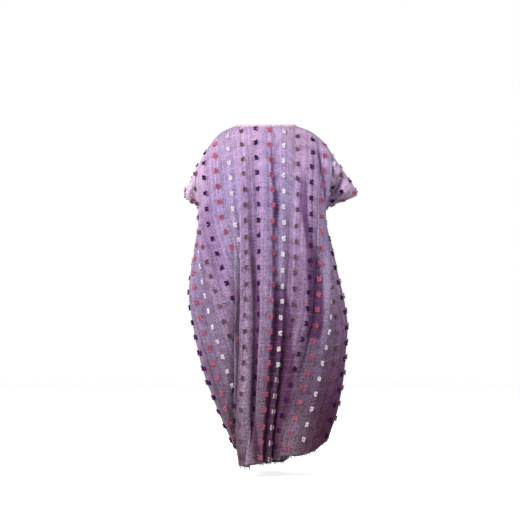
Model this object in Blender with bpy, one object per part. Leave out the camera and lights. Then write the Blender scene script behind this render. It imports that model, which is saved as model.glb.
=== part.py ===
"""Grand boubou robe: a wide straight robe of gauze, worn, seen hanging from the wearer's shoulders.

The cut is one loom width of cloth for the back and one for the front. Each panel is cut in one
with its half of both sleeves: the top edges meet along the shoulders and the tops of the arms,
and the side edges meet from the bottom of the arm opening to the hem. A narrow binding finishes
the neck.

Frame: metres, +Z up, the wearer faces -Y, and +X is the wearer's left. The origin is the point
between the shoulders, level with the back of the neck, where the wearer carries the robe.

Each panel is worked out on its flat cut. "across" is the distance from the middle of the cloth,
positive to the wearer's left, and a "line" runs across the cloth. A line has a share:
0 on the shoulder line, ARM_SHARE at the bottom of the arm opening, and 1 at the hem.
"""

import math

import bpy
import numpy as np

# ---------------------------------------------------------------- driving sizes
HALF_WIDTH = 0.54  # flat cloth, from its middle to a side seam
WALL = 0.0012  # thickness of the gauze wall
SEAM_GAP = 0.0003  # between pieces that are sewn together
SPLIT_GAP = 0.0014  # between the solids of a panel, where the real cloth is in one

ARM_SHARE = 0.23  # the line at the bottom of the arm opening
ARM_LINE_DROP = 0.30  # how far that line hangs below the neck, at the middle
ARM_LINE_DIP = 0.048  # how much lower it hangs under the arms

NECK_HALF_WIDTH = 0.121
NECK_FLAT = 0.125  # half the neck opening, measured on the cloth
NECK_BACK = 0.052  # from the shoulder line to the back of the neck opening
NECK_FRONT = 0.105  # and to its front
NECK_SIDE_DROP = 0.006  # how far the sides of the neck opening lie below the origin
NECK_BACK_DROP = 0.002  # and its back and front below its sides
NECK_FRONT_DROP = 0.070
BINDING_WIDTH = 0.010
BINDING_WALL = 0.0018

# The shoulder line from the side of the neck down the top of each arm to the cuff.
SHOULDER_LINE = {
    "left": (
        # across, x, y, z
        (0.125, 0.121, 0.000, -0.006),
        (0.190, 0.182, 0.000, -0.033),
        (0.258, 0.228, -0.003, -0.083),
        (0.340, 0.271, -0.012, -0.156),
        (0.400, 0.293, -0.022, -0.207),
        (0.465, 0.320, -0.037, -0.255),
        (0.540, 0.328, -0.058, -0.296),
    ),
    "right": (
        (0.125, 0.121, 0.000, -0.006),
        (0.190, 0.1845, 0.000, -0.031),
        (0.265, 0.242, -0.003, -0.080),
        (0.325, 0.275, -0.010, -0.129),
        (0.385, 0.3075, -0.020, -0.178),
        (0.445, 0.344, -0.032, -0.2275),
        (0.505, 0.371, -0.048, -0.272),
        (0.540, 0.376, -0.058, -0.288),
    ),
}

STAND_EARLY = 0.6  # how much of this comes near the shoulder line, with a flat landing below
# How far the cloth stands off the straight way from the shoulder line to the arm line.
STAND_OFF = {
    "back": (
        # across, sideways, backwards, upwards
        (0.00, 0.000, 0.014, 0.000),
        (0.12, 0.000, 0.026, 0.000),
        (0.20, 0.004, 0.040, 0.000),
        (0.28, 0.010, 0.058, 0.000),
        (0.36, 0.018, 0.084, 0.000),
        (0.45, 0.018, 0.096, 0.000),
        (0.54, 0.014, 0.084, 0.000),
    ),
    "front": (
        (0.00, 0.000, -0.030, 0.000),
        (0.12, 0.004, -0.036, 0.000),
        (0.20, 0.016, -0.036, 0.000),
        (0.28, 0.026, -0.040, 0.000),
        (0.36, 0.032, -0.052, 0.000),
        (0.45, 0.030, -0.072, 0.000),
        (0.54, 0.012, -0.090, 0.000),
    ),
}

SLEEVE_TURN = 0.6  # how steeply the sleeves come in to the arm line: 0 is straight down

# The outline of the robe below the arms. back and front are measured from the widest line,
# which lies widest_y behind the origin, and centre_x is where the middle of the cloth hangs.
OUTLINE = (
    # z, left, right, widest_y, back, front, centre_x
    (-0.34, 0.282, 0.262, 0.000, 0.140, 0.225, -0.010),
    (-0.42, 0.288, 0.268, 0.005, 0.137, 0.245, -0.010),
    (-0.50, 0.295, 0.284, 0.010, 0.136, 0.262, -0.010),
    (-0.60, 0.306, 0.301, 0.014, 0.138, 0.278, -0.009),
    (-0.70, 0.315, 0.321, 0.016, 0.142, 0.288, -0.007),
    (-0.80, 0.302, 0.335, 0.017, 0.146, 0.292, -0.003),
    (-0.90, 0.282, 0.330, 0.018, 0.146, 0.294, 0.002),
    (-1.00, 0.256, 0.322, 0.018, 0.144, 0.294, 0.008),
    (-1.10, 0.219, 0.307, 0.018, 0.140, 0.292, 0.017),
    (-1.20, 0.181, 0.284, 0.018, 0.136, 0.288, 0.026),
    (-1.30, 0.136, 0.236, 0.018, 0.132, 0.282, 0.033),
    (-1.40, 0.112, 0.180, 0.018, 0.130, 0.276, 0.036),
)
OUTLINE_POWER = 2.15  # 2 is an ellipse, and more is squarer

# Where the hem hangs.
HEM = {
    "back": (
        # across, z
        (-0.54, -1.250),
        (-0.494, -1.270),
        (-0.434, -1.305),
        (-0.374, -1.336),
        (-0.314, -1.350),
        (-0.254, -1.350),
        (-0.180, -1.362),
        (-0.074, -1.376),
        (0.000, -1.384),
        (0.106, -1.394),
        (0.180, -1.372),
        (0.300, -1.336),
        (0.420, -1.316),
        (0.54, -1.302),
    ),
    "front": (
        (-0.54, -1.250),
        (-0.40, -1.300),
        (-0.24, -1.342),
        (-0.12, -1.356),
        (-0.06, -1.394),
        (0.00, -1.402),
        (0.12, -1.396),
        (0.24, -1.380),
        (0.40, -1.344),
        (0.54, -1.302),
    ),
}

# Folds of the back, from the neck to the hem. Each starts at an edge on the cloth and runs away
# from the middle. width is the cloth in it and hidden is how much shorter it makes the robe.
# These three are given at the arm line, the hips, the knees and the hem. A fold is pressed in as
# this many pleats. lean slants them under the middle of the back, and rise is the share of the
# way from the shoulder to the arm line where the fold is full.
FOLD_HEIGHTS = (-0.34, -0.80, -1.10, -1.39)
BACK_FOLDS = (
    # name, starts, towards, width, hidden, pleats, lean, rise
    (
        "left of centre",
        (0.012,) * 4, 1, (0.092, 0.092, 0.094, 0.096), (0.010, 0.014, 0.022, 0.034), 1, 0, 0.6,
    ),
    (
        "left tuck",
        (0.128,) * 4, 1, (0.070, 0.205, 0.300, 0.372), (0.006, 0.150, 0.256, 0.330), 2, 0.5, 1,
    ),
    (
        "left arm",
        (0.345, 0.380, 0.440, 0.508), 1, (0.150, 0.110, 0.060, 0.020), (0.012, 0.004, 0, 0), 1, 0, 1,
    ),
    (
        "centre",
        (-0.020,) * 4, -1, (0.052,) * 4, (0.010, 0.015, 0.019, 0.022), 1, 0, 0.35,
    ),
    (
        "right tuck",
        (-0.082,) * 4, -1, (0.060, 0.060, 0.104, 0.138), (0.002, 0.010, 0.064, 0.116), 1, 0.6, 1,
    ),
    (
        "right back",
        (-0.204, -0.204, -0.200, -0.222), -1,
        (0.060, 0.060, 0.050, 0.030), (0.006, 0.014, 0, 0), 1, 0, 0.6,
    ),
    (
        "right arm",
        (-0.270,) * 4, -1, (0.200,) * 4, (0.030, 0.008, 0.000, 0.000), 1, 0, 1,
    ),
)
FRONT_FOLDS = (
    # middle, width, share of the spare cloth, rise
    (-0.455, 0.110, 0.16, 1.00),
    (-0.340, 0.090, 0.12, 0.80),
    (-0.225, 0.100, 0.15, 0.60),
    (-0.110, 0.070, 0.06, 0.75),
    (-0.020, 0.080, 0.08, 0.50),
    (0.085, 0.090, 0.07, 0.70),
    (0.190, 0.075, 0.12, 0.55),
    (0.300, 0.100, 0.14, 0.85),
    (0.410, 0.090, 0.10, 0.95),
)
MOST_HIDDEN = 0.75  # of a front fold's width
FOLD_FULLNESS = 0.48
FOLD_AXIS_Y = -0.06  # folds point to an upright axis here
TIP_ROOM = 0.9  # how much of a fold's opening lies at its tips and ridges, and not in its sides
PLEAT_SUNK = 0.15  # how far in the cloth between two pleats lies, as a share of their depth
FOLD_SHOWS = 0.06  # the hidden share of a fold's width at which it has its full depth
SLACK = 0.97  # soft small folds take up the rest of the width

# ---------------------------------------------------------------- mesh density
FINE_ACROSS = 0.0066
FINE_LINE = 0.008
PANEL_LENGTH = 1.40
SHARPEST = 0.22  # limits how far the wall's corners reach in a tight fold
COLUMNS = 62  # strips of faces across a panel
FOLD_COLUMNS = 5  # of them lie in each pleat
NECK_COLUMNS = 16  # and at the neck opening
FOLD_SOFTENING = 30  # passes over the directions that folds are pressed in
ARM_LINES = 10  # from the shoulder line to the arm line
BODY_LINES = 22  # from the arm line to the hem
SPLIT_LINES = (10, 20)  # where a panel is parted, just below the arms and at mid-thigh
PANEL_PARTS = ("yoke", "panel", "skirt")

BAND_SOFTENING = 3  # passes over the ways that a band runs in
GAUZE = (0.36, 0.27, 0.42)
GAUZE_ROUGHNESS = 0.9
BINDING = (0.60, 0.46, 0.58)


def smooth_step(t):
    t = np.clip(t, 0.0, 1.0)
    return t * t * (3.0 - 2.0 * t)


def curve_through(table, column, at):
    """A smooth curve through one column of a table, whose first column is where each row is."""
    rows = sorted(table, key=lambda row: row[0])
    xs = np.array([row[0] for row in rows], float)
    ys = np.array([row[column] for row in rows], float)
    slopes = np.gradient(ys, xs)
    at = np.clip(at, xs[0], xs[-1])
    i = np.clip(np.searchsorted(xs, at, side="right") - 1, 0, len(xs) - 2)
    step = xs[i + 1] - xs[i]
    t = (at - xs[i]) / step
    return (
        (2 * t**3 - 3 * t**2 + 1) * ys[i]
        + (t**3 - 2 * t**2 + t) * step * slopes[i]
        + (3 * t**2 - 2 * t**3) * ys[i + 1]
        + (t**3 - t**2) * step * slopes[i + 1]
    )


def shoulder_line(side, across):
    """The top edge of a panel: round the neck opening, then along the shoulders and arms."""
    points = np.zeros((len(across), 3))
    for i, a in enumerate(across):
        if abs(a) < NECK_FLAT:
            over = a / NECK_FLAT
            down = math.sqrt(1 - over**2)
            depth = NECK_BACK if side == "back" else -NECK_FRONT
            drop = NECK_BACK_DROP if side == "back" else NECK_FRONT_DROP
            points[i] = (
                NECK_HALF_WIDTH * over,
                depth * down,
                -NECK_SIDE_DROP - drop * down,
            )
            continue
        table = SHOULDER_LINE["left" if a > 0 else "right"]
        x, y, z = (float(curve_through(table, c, abs(a))) for c in (1, 2, 3))
        points[i] = (math.copysign(x, a), y, z)
    return points


def fold_values(fold, z):
    """Where a back fold starts, how much cloth it holds and how much it hides at a height."""
    _, starts, _, width, hidden, _, _, _ = fold
    heights = [-h for h in FOLD_HEIGHTS]
    return (float(np.interp(-z, heights, column)) for column in (starts, width, hidden))


class Loop:
    """The robe's smooth outline at one height, measured along its edge from the back."""

    def __init__(self, left_z, right_z, back_z, front_z):
        left = float(curve_through(OUTLINE, 1, left_z))
        right = float(curve_through(OUTLINE, 2, right_z))
        widest, back, centre = (float(curve_through(OUTLINE, c, back_z)) for c in (3, 4, 6))
        front = float(curve_through(OUTLINE, 5, front_z))
        turn = np.linspace(-2 * math.pi, 2 * math.pi, 1441)
        power = 2.0 / OUTLINE_POWER
        across, along = np.sin(turn), np.cos(turn)
        self.x = np.where(across > 0, left, right) * np.sign(across) * np.abs(across) ** power
        depth = np.where(along > 0, back, front)
        self.y = widest + depth * np.sign(along) * np.abs(along) ** power
        steps = np.hypot(np.diff(self.x), np.diff(self.y))
        self.s = np.concatenate([[0.0], np.cumsum(steps)])
        middle = len(turn) // 2
        near = slice(middle - 90, middle + 90)
        self.s -= np.interp(centre, self.x[near], self.s[near])
        self.round = float(steps[:middle].sum())

    def point(self, s):
        return np.interp(s, self.s, self.x), np.interp(s, self.s, self.y)


def fold_shape(inside, width, hidden, pleats=1, lean=0.0):
    """How deep the cloth lies in a fold, for places that are shares of the way through it."""
    opening = width - hidden
    full = FOLD_FULLNESS * math.sqrt(max(width * width - opening * opening, 0.0))
    full *= float(smooth_step(hidden / width / FOLD_SHOWS)) / pleats / math.hypot(1.0, lean)
    pressed = np.sin(pleats * math.pi * inside) ** 2
    between = (1.0 - pressed) * np.sin(math.pi * inside) ** 2 * (pleats > 1)
    return full * (pressed + PLEAT_SUNK * between)


def fold_shift(inside, width, hidden, pleats=1):
    """How far a fold draws in the cloth inside and beyond it. Its tips and ridges stay round."""
    turns = 4 * math.pi * pleats
    rounding = TIP_ROOM * (width - hidden) * hidden / width
    return hidden * inside - rounding * np.sin(turns * inside) / turns


def line_on_back(across, z, rise_share):
    """Places along the loop, the depth of the folds and their lean, for one line of the back."""
    place, depth, lean = across.copy(), np.zeros_like(across), np.zeros_like(across)
    for fold in BACK_FOLDS:
        _, _, towards, _, _, pleats, slant, rise = fold
        starts, width, hidden = fold_values(fold, z)
        hidden *= smooth_step(rise_share / rise)
        inside = np.clip((across - starts) * towards / width, 0.0, 1.0)
        place -= towards * fold_shift(inside, width, hidden, pleats)
        pressed = fold_shape(inside, width, hidden, pleats, slant)
        depth += pressed
        lean -= towards * slant * pressed
    return place * SLACK, depth, lean


def line_on_front(across, loop, left_place, right_place, rise_share):
    """The same for one line of the front, between the places of the two side seams."""
    room = loop.round - left_place + right_place
    spare = max(2 * HALF_WIDTH - room / SLACK, 0.0)
    from_left = HALF_WIDTH - across
    place, depth = from_left.copy(), np.zeros_like(across)
    for middle, width, share, rise in FRONT_FOLDS:
        hidden = min(spare * share, MOST_HIDDEN * width) * smooth_step(rise_share / rise) ** 2
        inside = np.clip((from_left - HALF_WIDTH + middle) / width + 0.5, 0.0, 1.0)
        place -= fold_shift(inside, width, hidden)
        depth += fold_shape(inside, width, hidden)
    place *= room / place[across.argmin()]
    return left_place + place, depth


def line_heights(side, across, shares):
    """The height of the cloth at every place on every line from the arm line down."""
    arm_z = -ARM_LINE_DROP - ARM_LINE_DIP * smooth_step((np.abs(across) - 0.08) / 0.3)
    hem_z = curve_through(HEM[side], 1, across)
    below = np.clip((shares - ARM_SHARE) / (1.0 - ARM_SHARE), 0.0, 1.0)
    return arm_z + (hem_z - arm_z) * below[:, None]


def panel_lines(side, across, shares):
    """The panel's smooth surface, and the depth and lean of its folds, line by line."""
    top = shoulder_line(side, across)
    stand = np.stack(
        [curve_through(STAND_OFF[side], c, np.abs(across)) for c in (1, 2, 3)], axis=1
    )
    stand[:, 0] *= np.sign(across)
    sleeve = smooth_step((np.abs(across) - 0.15) / 0.25)
    heights = {name: line_heights(name, across, shares) for name in ("back", "front")}
    middle = len(across) // 2
    edges = np.array([HALF_WIDTH, -HALF_WIDTH])
    points, depths, leans = [], [], []
    for k, share in enumerate(shares):
        above = min(share / ARM_SHARE, 1.0)
        z = heights[side][k]
        back_z, front_z = heights["back"][k, middle], heights["front"][k, middle]
        loop = Loop(z[-1], z[0], back_z, front_z)
        (left_seam, right_seam), _, _ = line_on_back(edges, back_z, 1.0)
        if side == "back":
            place, _, _ = line_on_back(across, back_z, 1.0)
            _, depth, lean = line_on_back(across, back_z, above)
        else:
            place, _ = line_on_front(across, loop, left_seam, right_seam, 1.0)
            _, depth = line_on_front(across, loop, left_seam, right_seam, above)
            lean = np.zeros_like(depth)
        x, y = loop.point(place)
        base = np.stack([x, y, z], axis=1)
        if above < 1.0:
            turned = (1.0 - math.cos(math.pi * above)) / 2
            way = above + SLEEVE_TURN * sleeve * (turned - above)
            early = 6.75 * above * (1.0 - above) ** 2
            bulge = early * STAND_EARLY + math.sin(math.pi * above) * (1.0 - STAND_EARLY)
            base = top + (base - top) * way[:, None] + stand * bulge
        points.append(base)
        depths.append(depth)
        leans.append(lean)
    return np.array(points), np.array(depths), np.array(leans)


def eased(points, across, shares, about, reach, kernel):
    """The surface with the turn at one line rounded off, except at the side edges."""
    result = points.copy()
    kept = smooth_step((np.abs(across) - 0.34) / 0.18)[:, None]
    for k, share in enumerate(shares):
        amount = math.exp(-(((share - about) / reach) ** 2))
        weights = np.exp(-(((shares - share) / kernel) ** 2))
        weights /= weights.sum()
        mean = np.tensordot(weights, points, axes=(0, 0))
        result[k] = points[k] + (mean - points[k]) * amount * (1.0 - kept)
    return result


def surface_out(points, side):
    """Unit vectors out of the cloth at each point."""
    out = np.cross(np.gradient(points, axis=1), np.gradient(points, axis=0))
    return unit(out if side == "back" else -out)


def unit(vectors):
    return vectors / np.maximum(np.linalg.norm(vectors, axis=2, keepdims=True), 1e-12)


def softened(vectors, passes):
    """Directions averaged with their neighbours on the grid, over and over."""
    for _ in range(passes):
        padded = np.pad(vectors, ((1, 1), (1, 1), (0, 0)), mode="edge")
        vectors = (padded[:-2, 1:-1] + padded[2:, 1:-1] + padded[1:-1, :-2] + padded[1:-1, 2:]) / 4
    return unit(vectors)


def fine_axes():
    across = np.linspace(-HALF_WIDTH, HALF_WIDTH, int(round(2 * HALF_WIDTH / FINE_ACROSS)) + 1)
    shares = np.linspace(0.0, 1.0, int(round(PANEL_LENGTH / FINE_LINE)) + 1)
    return across, shares


def draped_panel(side):
    """The middle of a panel's cloth on a fine grid of lines by places across.

    Below the arm line the folds are pressed in towards an upright axis inside the robe.
    """
    across, shares = fine_axes()
    smooth, depth, lean = panel_lines(side, across, shares)
    smooth = eased(smooth, across, shares, ARM_SHARE, 0.08, 0.025)
    axis_x = curve_through(OUTLINE, 6, smooth[..., 2])
    outward = np.stack([smooth[..., 0] - axis_x, smooth[..., 1] - FOLD_AXIS_Y, 0 * axis_x], axis=2)
    body = smooth_step((shares - 0.5 * ARM_SHARE) / (0.5 * ARM_SHARE))[:, None, None]
    out = surface_out(smooth, side) * (1.0 - body) + unit(outward) * body
    out = softened(out, FOLD_SOFTENING)
    sideways = unit(np.stack([out[..., 1], -out[..., 0], 0 * axis_x], axis=2))
    return smooth - out * depth[..., None] + sideways * lean[..., None]


def clear_scene():
    for thing in list(bpy.data.objects):
        bpy.data.objects.remove(thing)


def plain_material(name, colour, roughness):
    material = bpy.data.materials.new(name)
    material.use_nodes = True
    shader = material.node_tree.nodes["Principled BSDF"]
    shader.inputs["Base Color"].default_value = (*colour, 1.0)
    shader.inputs["Roughness"].default_value = roughness
    shader.inputs["Metallic"].default_value = 0.0
    return material


def corner_offsets(grid, side):
    """From each point of a panel's grid, the way out that keeps the wall even at its corners."""
    ahead, back = grid[1:, 1:] - grid[:-1, :-1], grid[1:, :-1] - grid[:-1, 1:]
    faces = unit(np.cross(ahead, back) * (1.0 if side == "back" else -1.0))
    padded = np.pad(faces, ((1, 1), (1, 1), (0, 0)))
    near = [padded[:-1, :-1], padded[:-1, 1:], padded[1:, :-1], padded[1:, 1:]]
    out = unit(sum(near))
    leans = [np.where(np.any(n, axis=2), np.sum(n * out, axis=2), 1.0) for n in near]
    return out, np.clip(np.min(leans, axis=0), SHARPEST, 1.0)[..., None]


def wall_offsets(grids):
    """The offsets of both panels, made the same where the two are sewn together."""
    out, lean = zip(*(corner_offsets(grids[side], side) for side in ("back", "front")))
    sewn = np.zeros(grids["back"].shape[:2], bool)
    sewn[0] = np.abs(shoulder_columns()) > NECK_FLAT - SEAM_GAP
    sewn[ARM_LINES - 1 :, 0] = sewn[ARM_LINES - 1 :, -1] = True
    both, least = unit(out[0] + out[1]), np.minimum(*lean)
    offsets = [np.where(sewn[..., None], both / least, o / l) for o, l in zip(out, lean)]
    return dict(zip(("back", "front"), offsets))


def wall_between(name, outer, inner, material):
    """A closed solid between two grids of points, one for each face of the cloth."""
    lines, places = outer.shape[:2]
    index = np.arange(lines * places).reshape(lines, places)
    under = index + lines * places
    faces = []
    for k in range(lines - 1):
        for i in range(places - 1):
            a, b = index[k, i], index[k, i + 1]
            c, d = index[k + 1, i + 1], index[k + 1, i]
            faces += [(a, b, c), (a, c, d)]
            a, b, c, d = a + lines * places, b + lines * places, c + lines * places, d + lines * places
            faces += [(a, c, b), (a, d, c)]
    edge = [*index[0, :], *index[1:, -1], *index[-1, -2::-1], *index[-2:0:-1, 0]]
    below = [*under[0, :], *under[1:, -1], *under[-1, -2::-1], *under[-2:0:-1, 0]]
    for n in range(len(edge)):
        m = (n + 1) % len(edge)
        faces += [(edge[m], edge[n], below[n]), (edge[m], below[n], below[m])]
    mesh = bpy.data.meshes.new(name)
    points = np.concatenate([outer.reshape(-1, 3), inner.reshape(-1, 3)])
    mesh.from_pydata(points.tolist(), [], [tuple(int(v) for v in f) for f in faces])
    mesh.materials.append(material)
    piece = bpy.data.objects.new(name, mesh)
    bpy.context.scene.collection.objects.link(piece)
    return piece


def fold_stretches(side, z):
    """Where each fold starts and ends on the cloth at a height, and its pleats, left to right."""
    if side == "front":
        return [(middle - width / 2, middle + width / 2, 1) for middle, width, _, _ in FRONT_FOLDS]
    stretches = []
    for fold in BACK_FOLDS:
        starts, width, _ = fold_values(fold, z)
        stretches.append((*sorted((starts, starts + fold[2] * width)), fold[5]))
    return sorted(stretches)


def columns_at(side, z, share):
    """Places across where the mesh has an edge: close together in the folds, and following them.

    On the shoulder line they are the same for both panels, which are sewn together there.
    """
    plain = COLUMNS - FOLD_COLUMNS * sum(pleats for _, _, pleats in fold_stretches(side, z))
    at_arm, at_z = fold_stretches(side, FOLD_HEIGHTS[0]), fold_stretches(side, z)
    starts = [-HALF_WIDTH, *(end for _, end, _ in at_arm)]
    gaps = np.array([*(start for start, _, _ in at_arm), HALF_WIDTH]) - starts
    counts = np.maximum(np.round(gaps / gaps.sum() * plain), 1).astype(int)
    counts[gaps.argmax()] += plain - counts.sum()
    places, here = [-HALF_WIDTH], -HALF_WIDTH
    for count, (start, end, pleats) in zip(counts, [*at_z, (HALF_WIDTH, HALF_WIDTH, 0)]):
        places += list(np.linspace(here, start, count + 1)[1:])
        places += list(np.linspace(start, end, FOLD_COLUMNS * pleats + 1)[1:]) if pleats else []
        here = end
    sewn = shoulder_columns()
    return sewn + (np.array(places) - sewn) * float(smooth_step(share / ARM_SHARE * 1.5))


def shoulder_columns():
    """Places along the shoulder line, with one at each side of the neck."""
    arm = np.linspace(NECK_FLAT, HALF_WIDTH, (COLUMNS - NECK_COLUMNS) // 2 + 1)
    neck = NECK_FLAT * np.sin(np.linspace(-math.pi / 2, math.pi / 2, NECK_COLUMNS + 1)[1:-1])
    return np.concatenate([-arm[::-1], neck, arm])


def sampled(grid, across, line, columns):
    """Values of a fine grid on one line at some places across."""
    return np.stack([np.interp(columns, across, grid[line, :, c]) for c in range(3)], axis=1)


def panel_grids():
    """The middle of the cloth of both panels, on the places where their meshes have points."""
    across, shares = fine_axes()
    wanted = np.concatenate(
        [np.linspace(0, ARM_SHARE, ARM_LINES), np.linspace(ARM_SHARE, 1, BODY_LINES)[1:]]
    )
    lines = [int(np.abs(shares - share).argmin()) for share in wanted]
    heights = line_heights("back", across, shares)[:, len(across) // 2]
    grids = {}
    for side in ("back", "front"):
        fine = draped_panel(side)
        columns = [columns_at(side, heights[line], shares[line]) for line in lines]
        grids[side] = np.array([sampled(fine, across, k, at) for k, at in zip(lines, columns)])
        grids[side][0] = shoulder_line(side, shoulder_columns())
    return grids


def make_panels(grids, offsets):
    """Each panel in three solids, one above the other, so that collision can follow it closely."""
    for side, grid in grids.items():
        material = plain_material(side + "_gauze", GAUZE, GAUZE_ROUGHNESS)
        middle, out = pulled_back(grid), offsets[side] * WALL / 2
        if side == "front":
            middle, out = middle[:, ::-1], out[:, ::-1]  # faces out the other way
        ends = (0, *SPLIT_LINES, len(grid) - 1)
        for part, first, last in zip(PANEL_PARTS, ends, ends[1:]):
            faces = [cut_between(face, middle, first, last) for face in (middle + out, middle - out)]
            wall_between(f"{side}_{part}", *faces, material)


def pulled_back(face):
    """The face with its rim moved in by half a seam's gap."""
    face = face.copy()
    for edge, inner in ((0, 1), (-1, -2)):
        for rim, near in ((face[edge], face[inner]), (face[:, edge], face[:, inner])):
            inward = near - rim
            inward /= np.linalg.norm(inward, axis=1, keepdims=True)
            rim += inward * SEAM_GAP / 2
    return face


def cut_between(face, middle, first, last):
    """The lines of a face from first to last, cut a little short at a split along the face."""
    cut = face[first : last + 1].copy()
    for edge, near in ((first, first + 1), (last, last - 1)):
        if edge in SPLIT_LINES:
            step = np.linalg.norm(middle[near] - middle[edge], axis=1, keepdims=True)
            cut[edge - first] += (face[near] - face[edge]) * SPLIT_GAP / 2 / step
    return cut


def edge_band(name, edge, out, width, wall, colour):
    """A closed ring of folded cloth that carries an opening's edge on by its width.

    edge has the points round the opening, with the cloth on their left as seen from outside,
    and out the panels' own offsets there, so that the ring starts face to face with their rims.
    """
    along = np.roll(edge, -1, axis=0) - np.roll(edge, 1, axis=0)
    beyond = np.cross(along, out)
    for _ in range(BAND_SOFTENING):
        beyond /= np.linalg.norm(beyond, axis=1, keepdims=True)
        beyond = (np.roll(beyond, 1, axis=0) + beyond + np.roll(beyond, -1, axis=0)) / 3
    beyond /= np.linalg.norm(beyond, axis=1, keepdims=True)
    thick = np.cross(beyond, along)
    thick *= wall / 2 / np.linalg.norm(thick, axis=1, keepdims=True)
    rim = out * WALL / 2
    near, far = edge + beyond * SEAM_GAP, edge + beyond * width
    corners = np.array([near + rim, far + thick, far - thick, near - rim])
    count = len(edge)
    faces = []
    for ring in range(4):
        for n in range(count):
            a, b = ring * count + n, ring * count + (n + 1) % count
            c, d = (b + count) % (4 * count), (a + count) % (4 * count)
            faces += [(a, c, b), (a, d, c)]
    mesh = bpy.data.meshes.new(name)
    mesh.from_pydata(corners.reshape(-1, 3).tolist(), [], faces)
    mesh.materials.append(plain_material(name + "_cloth", colour, GAUZE_ROUGHNESS))
    piece = bpy.data.objects.new(name, mesh)
    bpy.context.scene.collection.objects.link(piece)


def make_neck_binding(grids, offsets):
    at = np.flatnonzero(np.abs(shoulder_columns()) < NECK_FLAT + SEAM_GAP)
    ends = {"back": at, "front": at[-2:0:-1]}
    edge = np.concatenate([grids[side][0, ends[side]] for side in ends])
    out = np.concatenate([offsets[side][0, ends[side]] for side in ends])
    edge_band("neck_binding", edge, out, BINDING_WIDTH, BINDING_WALL, BINDING)


def main():
    clear_scene()
    grids = panel_grids()
    offsets = wall_offsets(grids)
    make_panels(grids, offsets)
    make_neck_binding(grids, offsets)


main()
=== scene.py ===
# %% [markdown]
# # A grand boubou robe of striped gauze
#
# The robe is two widths of loom cloth, one for the back and one for the front, sewn along the
# shoulders and down the sides. This lesson drapes both widths as one worn, hollow robe, weaves
# them in nodes, sows rows of cut yarn tufts over them and finishes the edges with hems, a neck
# binding, stitches and fringe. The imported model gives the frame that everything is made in:
# metres, +Z up, the wearer faces -Y, and the origin lies between the shoulders.

import math

import bpy
import numpy as np
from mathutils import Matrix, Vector
from mathutils.bvhtree import BVHTree


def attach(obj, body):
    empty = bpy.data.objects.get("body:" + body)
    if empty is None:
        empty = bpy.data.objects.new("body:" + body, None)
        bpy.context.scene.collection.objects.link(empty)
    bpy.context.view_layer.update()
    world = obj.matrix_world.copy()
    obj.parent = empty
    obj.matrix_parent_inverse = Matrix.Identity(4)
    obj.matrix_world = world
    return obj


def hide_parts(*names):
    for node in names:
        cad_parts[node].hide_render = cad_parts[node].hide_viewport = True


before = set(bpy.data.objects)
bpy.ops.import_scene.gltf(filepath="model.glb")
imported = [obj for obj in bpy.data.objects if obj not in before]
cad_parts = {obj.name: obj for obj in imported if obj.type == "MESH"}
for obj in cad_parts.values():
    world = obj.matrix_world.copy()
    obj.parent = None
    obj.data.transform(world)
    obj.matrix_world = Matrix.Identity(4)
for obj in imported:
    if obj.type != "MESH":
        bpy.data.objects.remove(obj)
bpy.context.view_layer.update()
print("nodes in the frame:", sorted(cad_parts))

# %% [markdown]
# ## Smooth curves through measured rows
#
# A worn cloth is easiest to steer by a few measured rows, with smooth curves between them. One
# cubic curve serves for tables of sizes and for a finer grid through a coarser one. Subdivision
# could do the second, but it would pull the cloth away from the measured places.

# %% The curves


def smooth_step(t):
    t = np.clip(t, 0.0, 1.0)
    return t * t * (3.0 - 2.0 * t)


def rise(at, begins, over):
    """From 0 to 1, smoothly, over a stretch that begins somewhere."""
    return smooth_step((at - begins) / over)


def curve_between(known_at, values, at):
    """A smooth curve through values, along their first axis."""
    slopes = np.gradient(values, known_at, axis=0)
    at = np.clip(at, known_at[0], known_at[-1])
    i = np.clip(np.searchsorted(known_at, at, side="right") - 1, 0, len(known_at) - 2)
    shape = np.shape(at) + (1,) * (values.ndim - 1)
    step = (known_at[i + 1] - known_at[i]).reshape(shape)
    t = ((at - known_at[i]) / step.reshape(np.shape(at))).reshape(shape)
    return (
        (2 * t**3 - 3 * t**2 + 1) * values[i]
        + (t**3 - 2 * t**2 + t) * step * slopes[i]
        + (3 * t**2 - 2 * t**3) * values[i + 1]
        + (t**3 - t**2) * step * slopes[i + 1]
    )


def curve_through(table, column, at):
    """A smooth curve through one column of a table, whose first column is where each row is."""
    rows = np.array(sorted((row[0], row[column]) for row in table), float)
    return curve_between(rows[:, 0], rows[:, 1], at)


def unit(vectors):
    return vectors / np.maximum(np.linalg.norm(vectors, axis=-1, keepdims=True), 1e-12)


print("a quarter of the way, a smooth step has risen", float(smooth_step(0.25)))

# %% [markdown]
# ## The cut, and the line that the wearer's shoulders carry
#
# Each width is laid out flat first: "across" runs over it from the centre row of tufts, positive
# to the wearer's left, and a "share" runs down it, 0 on the shoulder line and 1 at the hem. The
# body holds only the shoulder line. Its tables say where the top edge hangs from the side of the
# neck to each cuff. A cloth simulation would need a body here, and the robe is kept empty.

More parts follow.
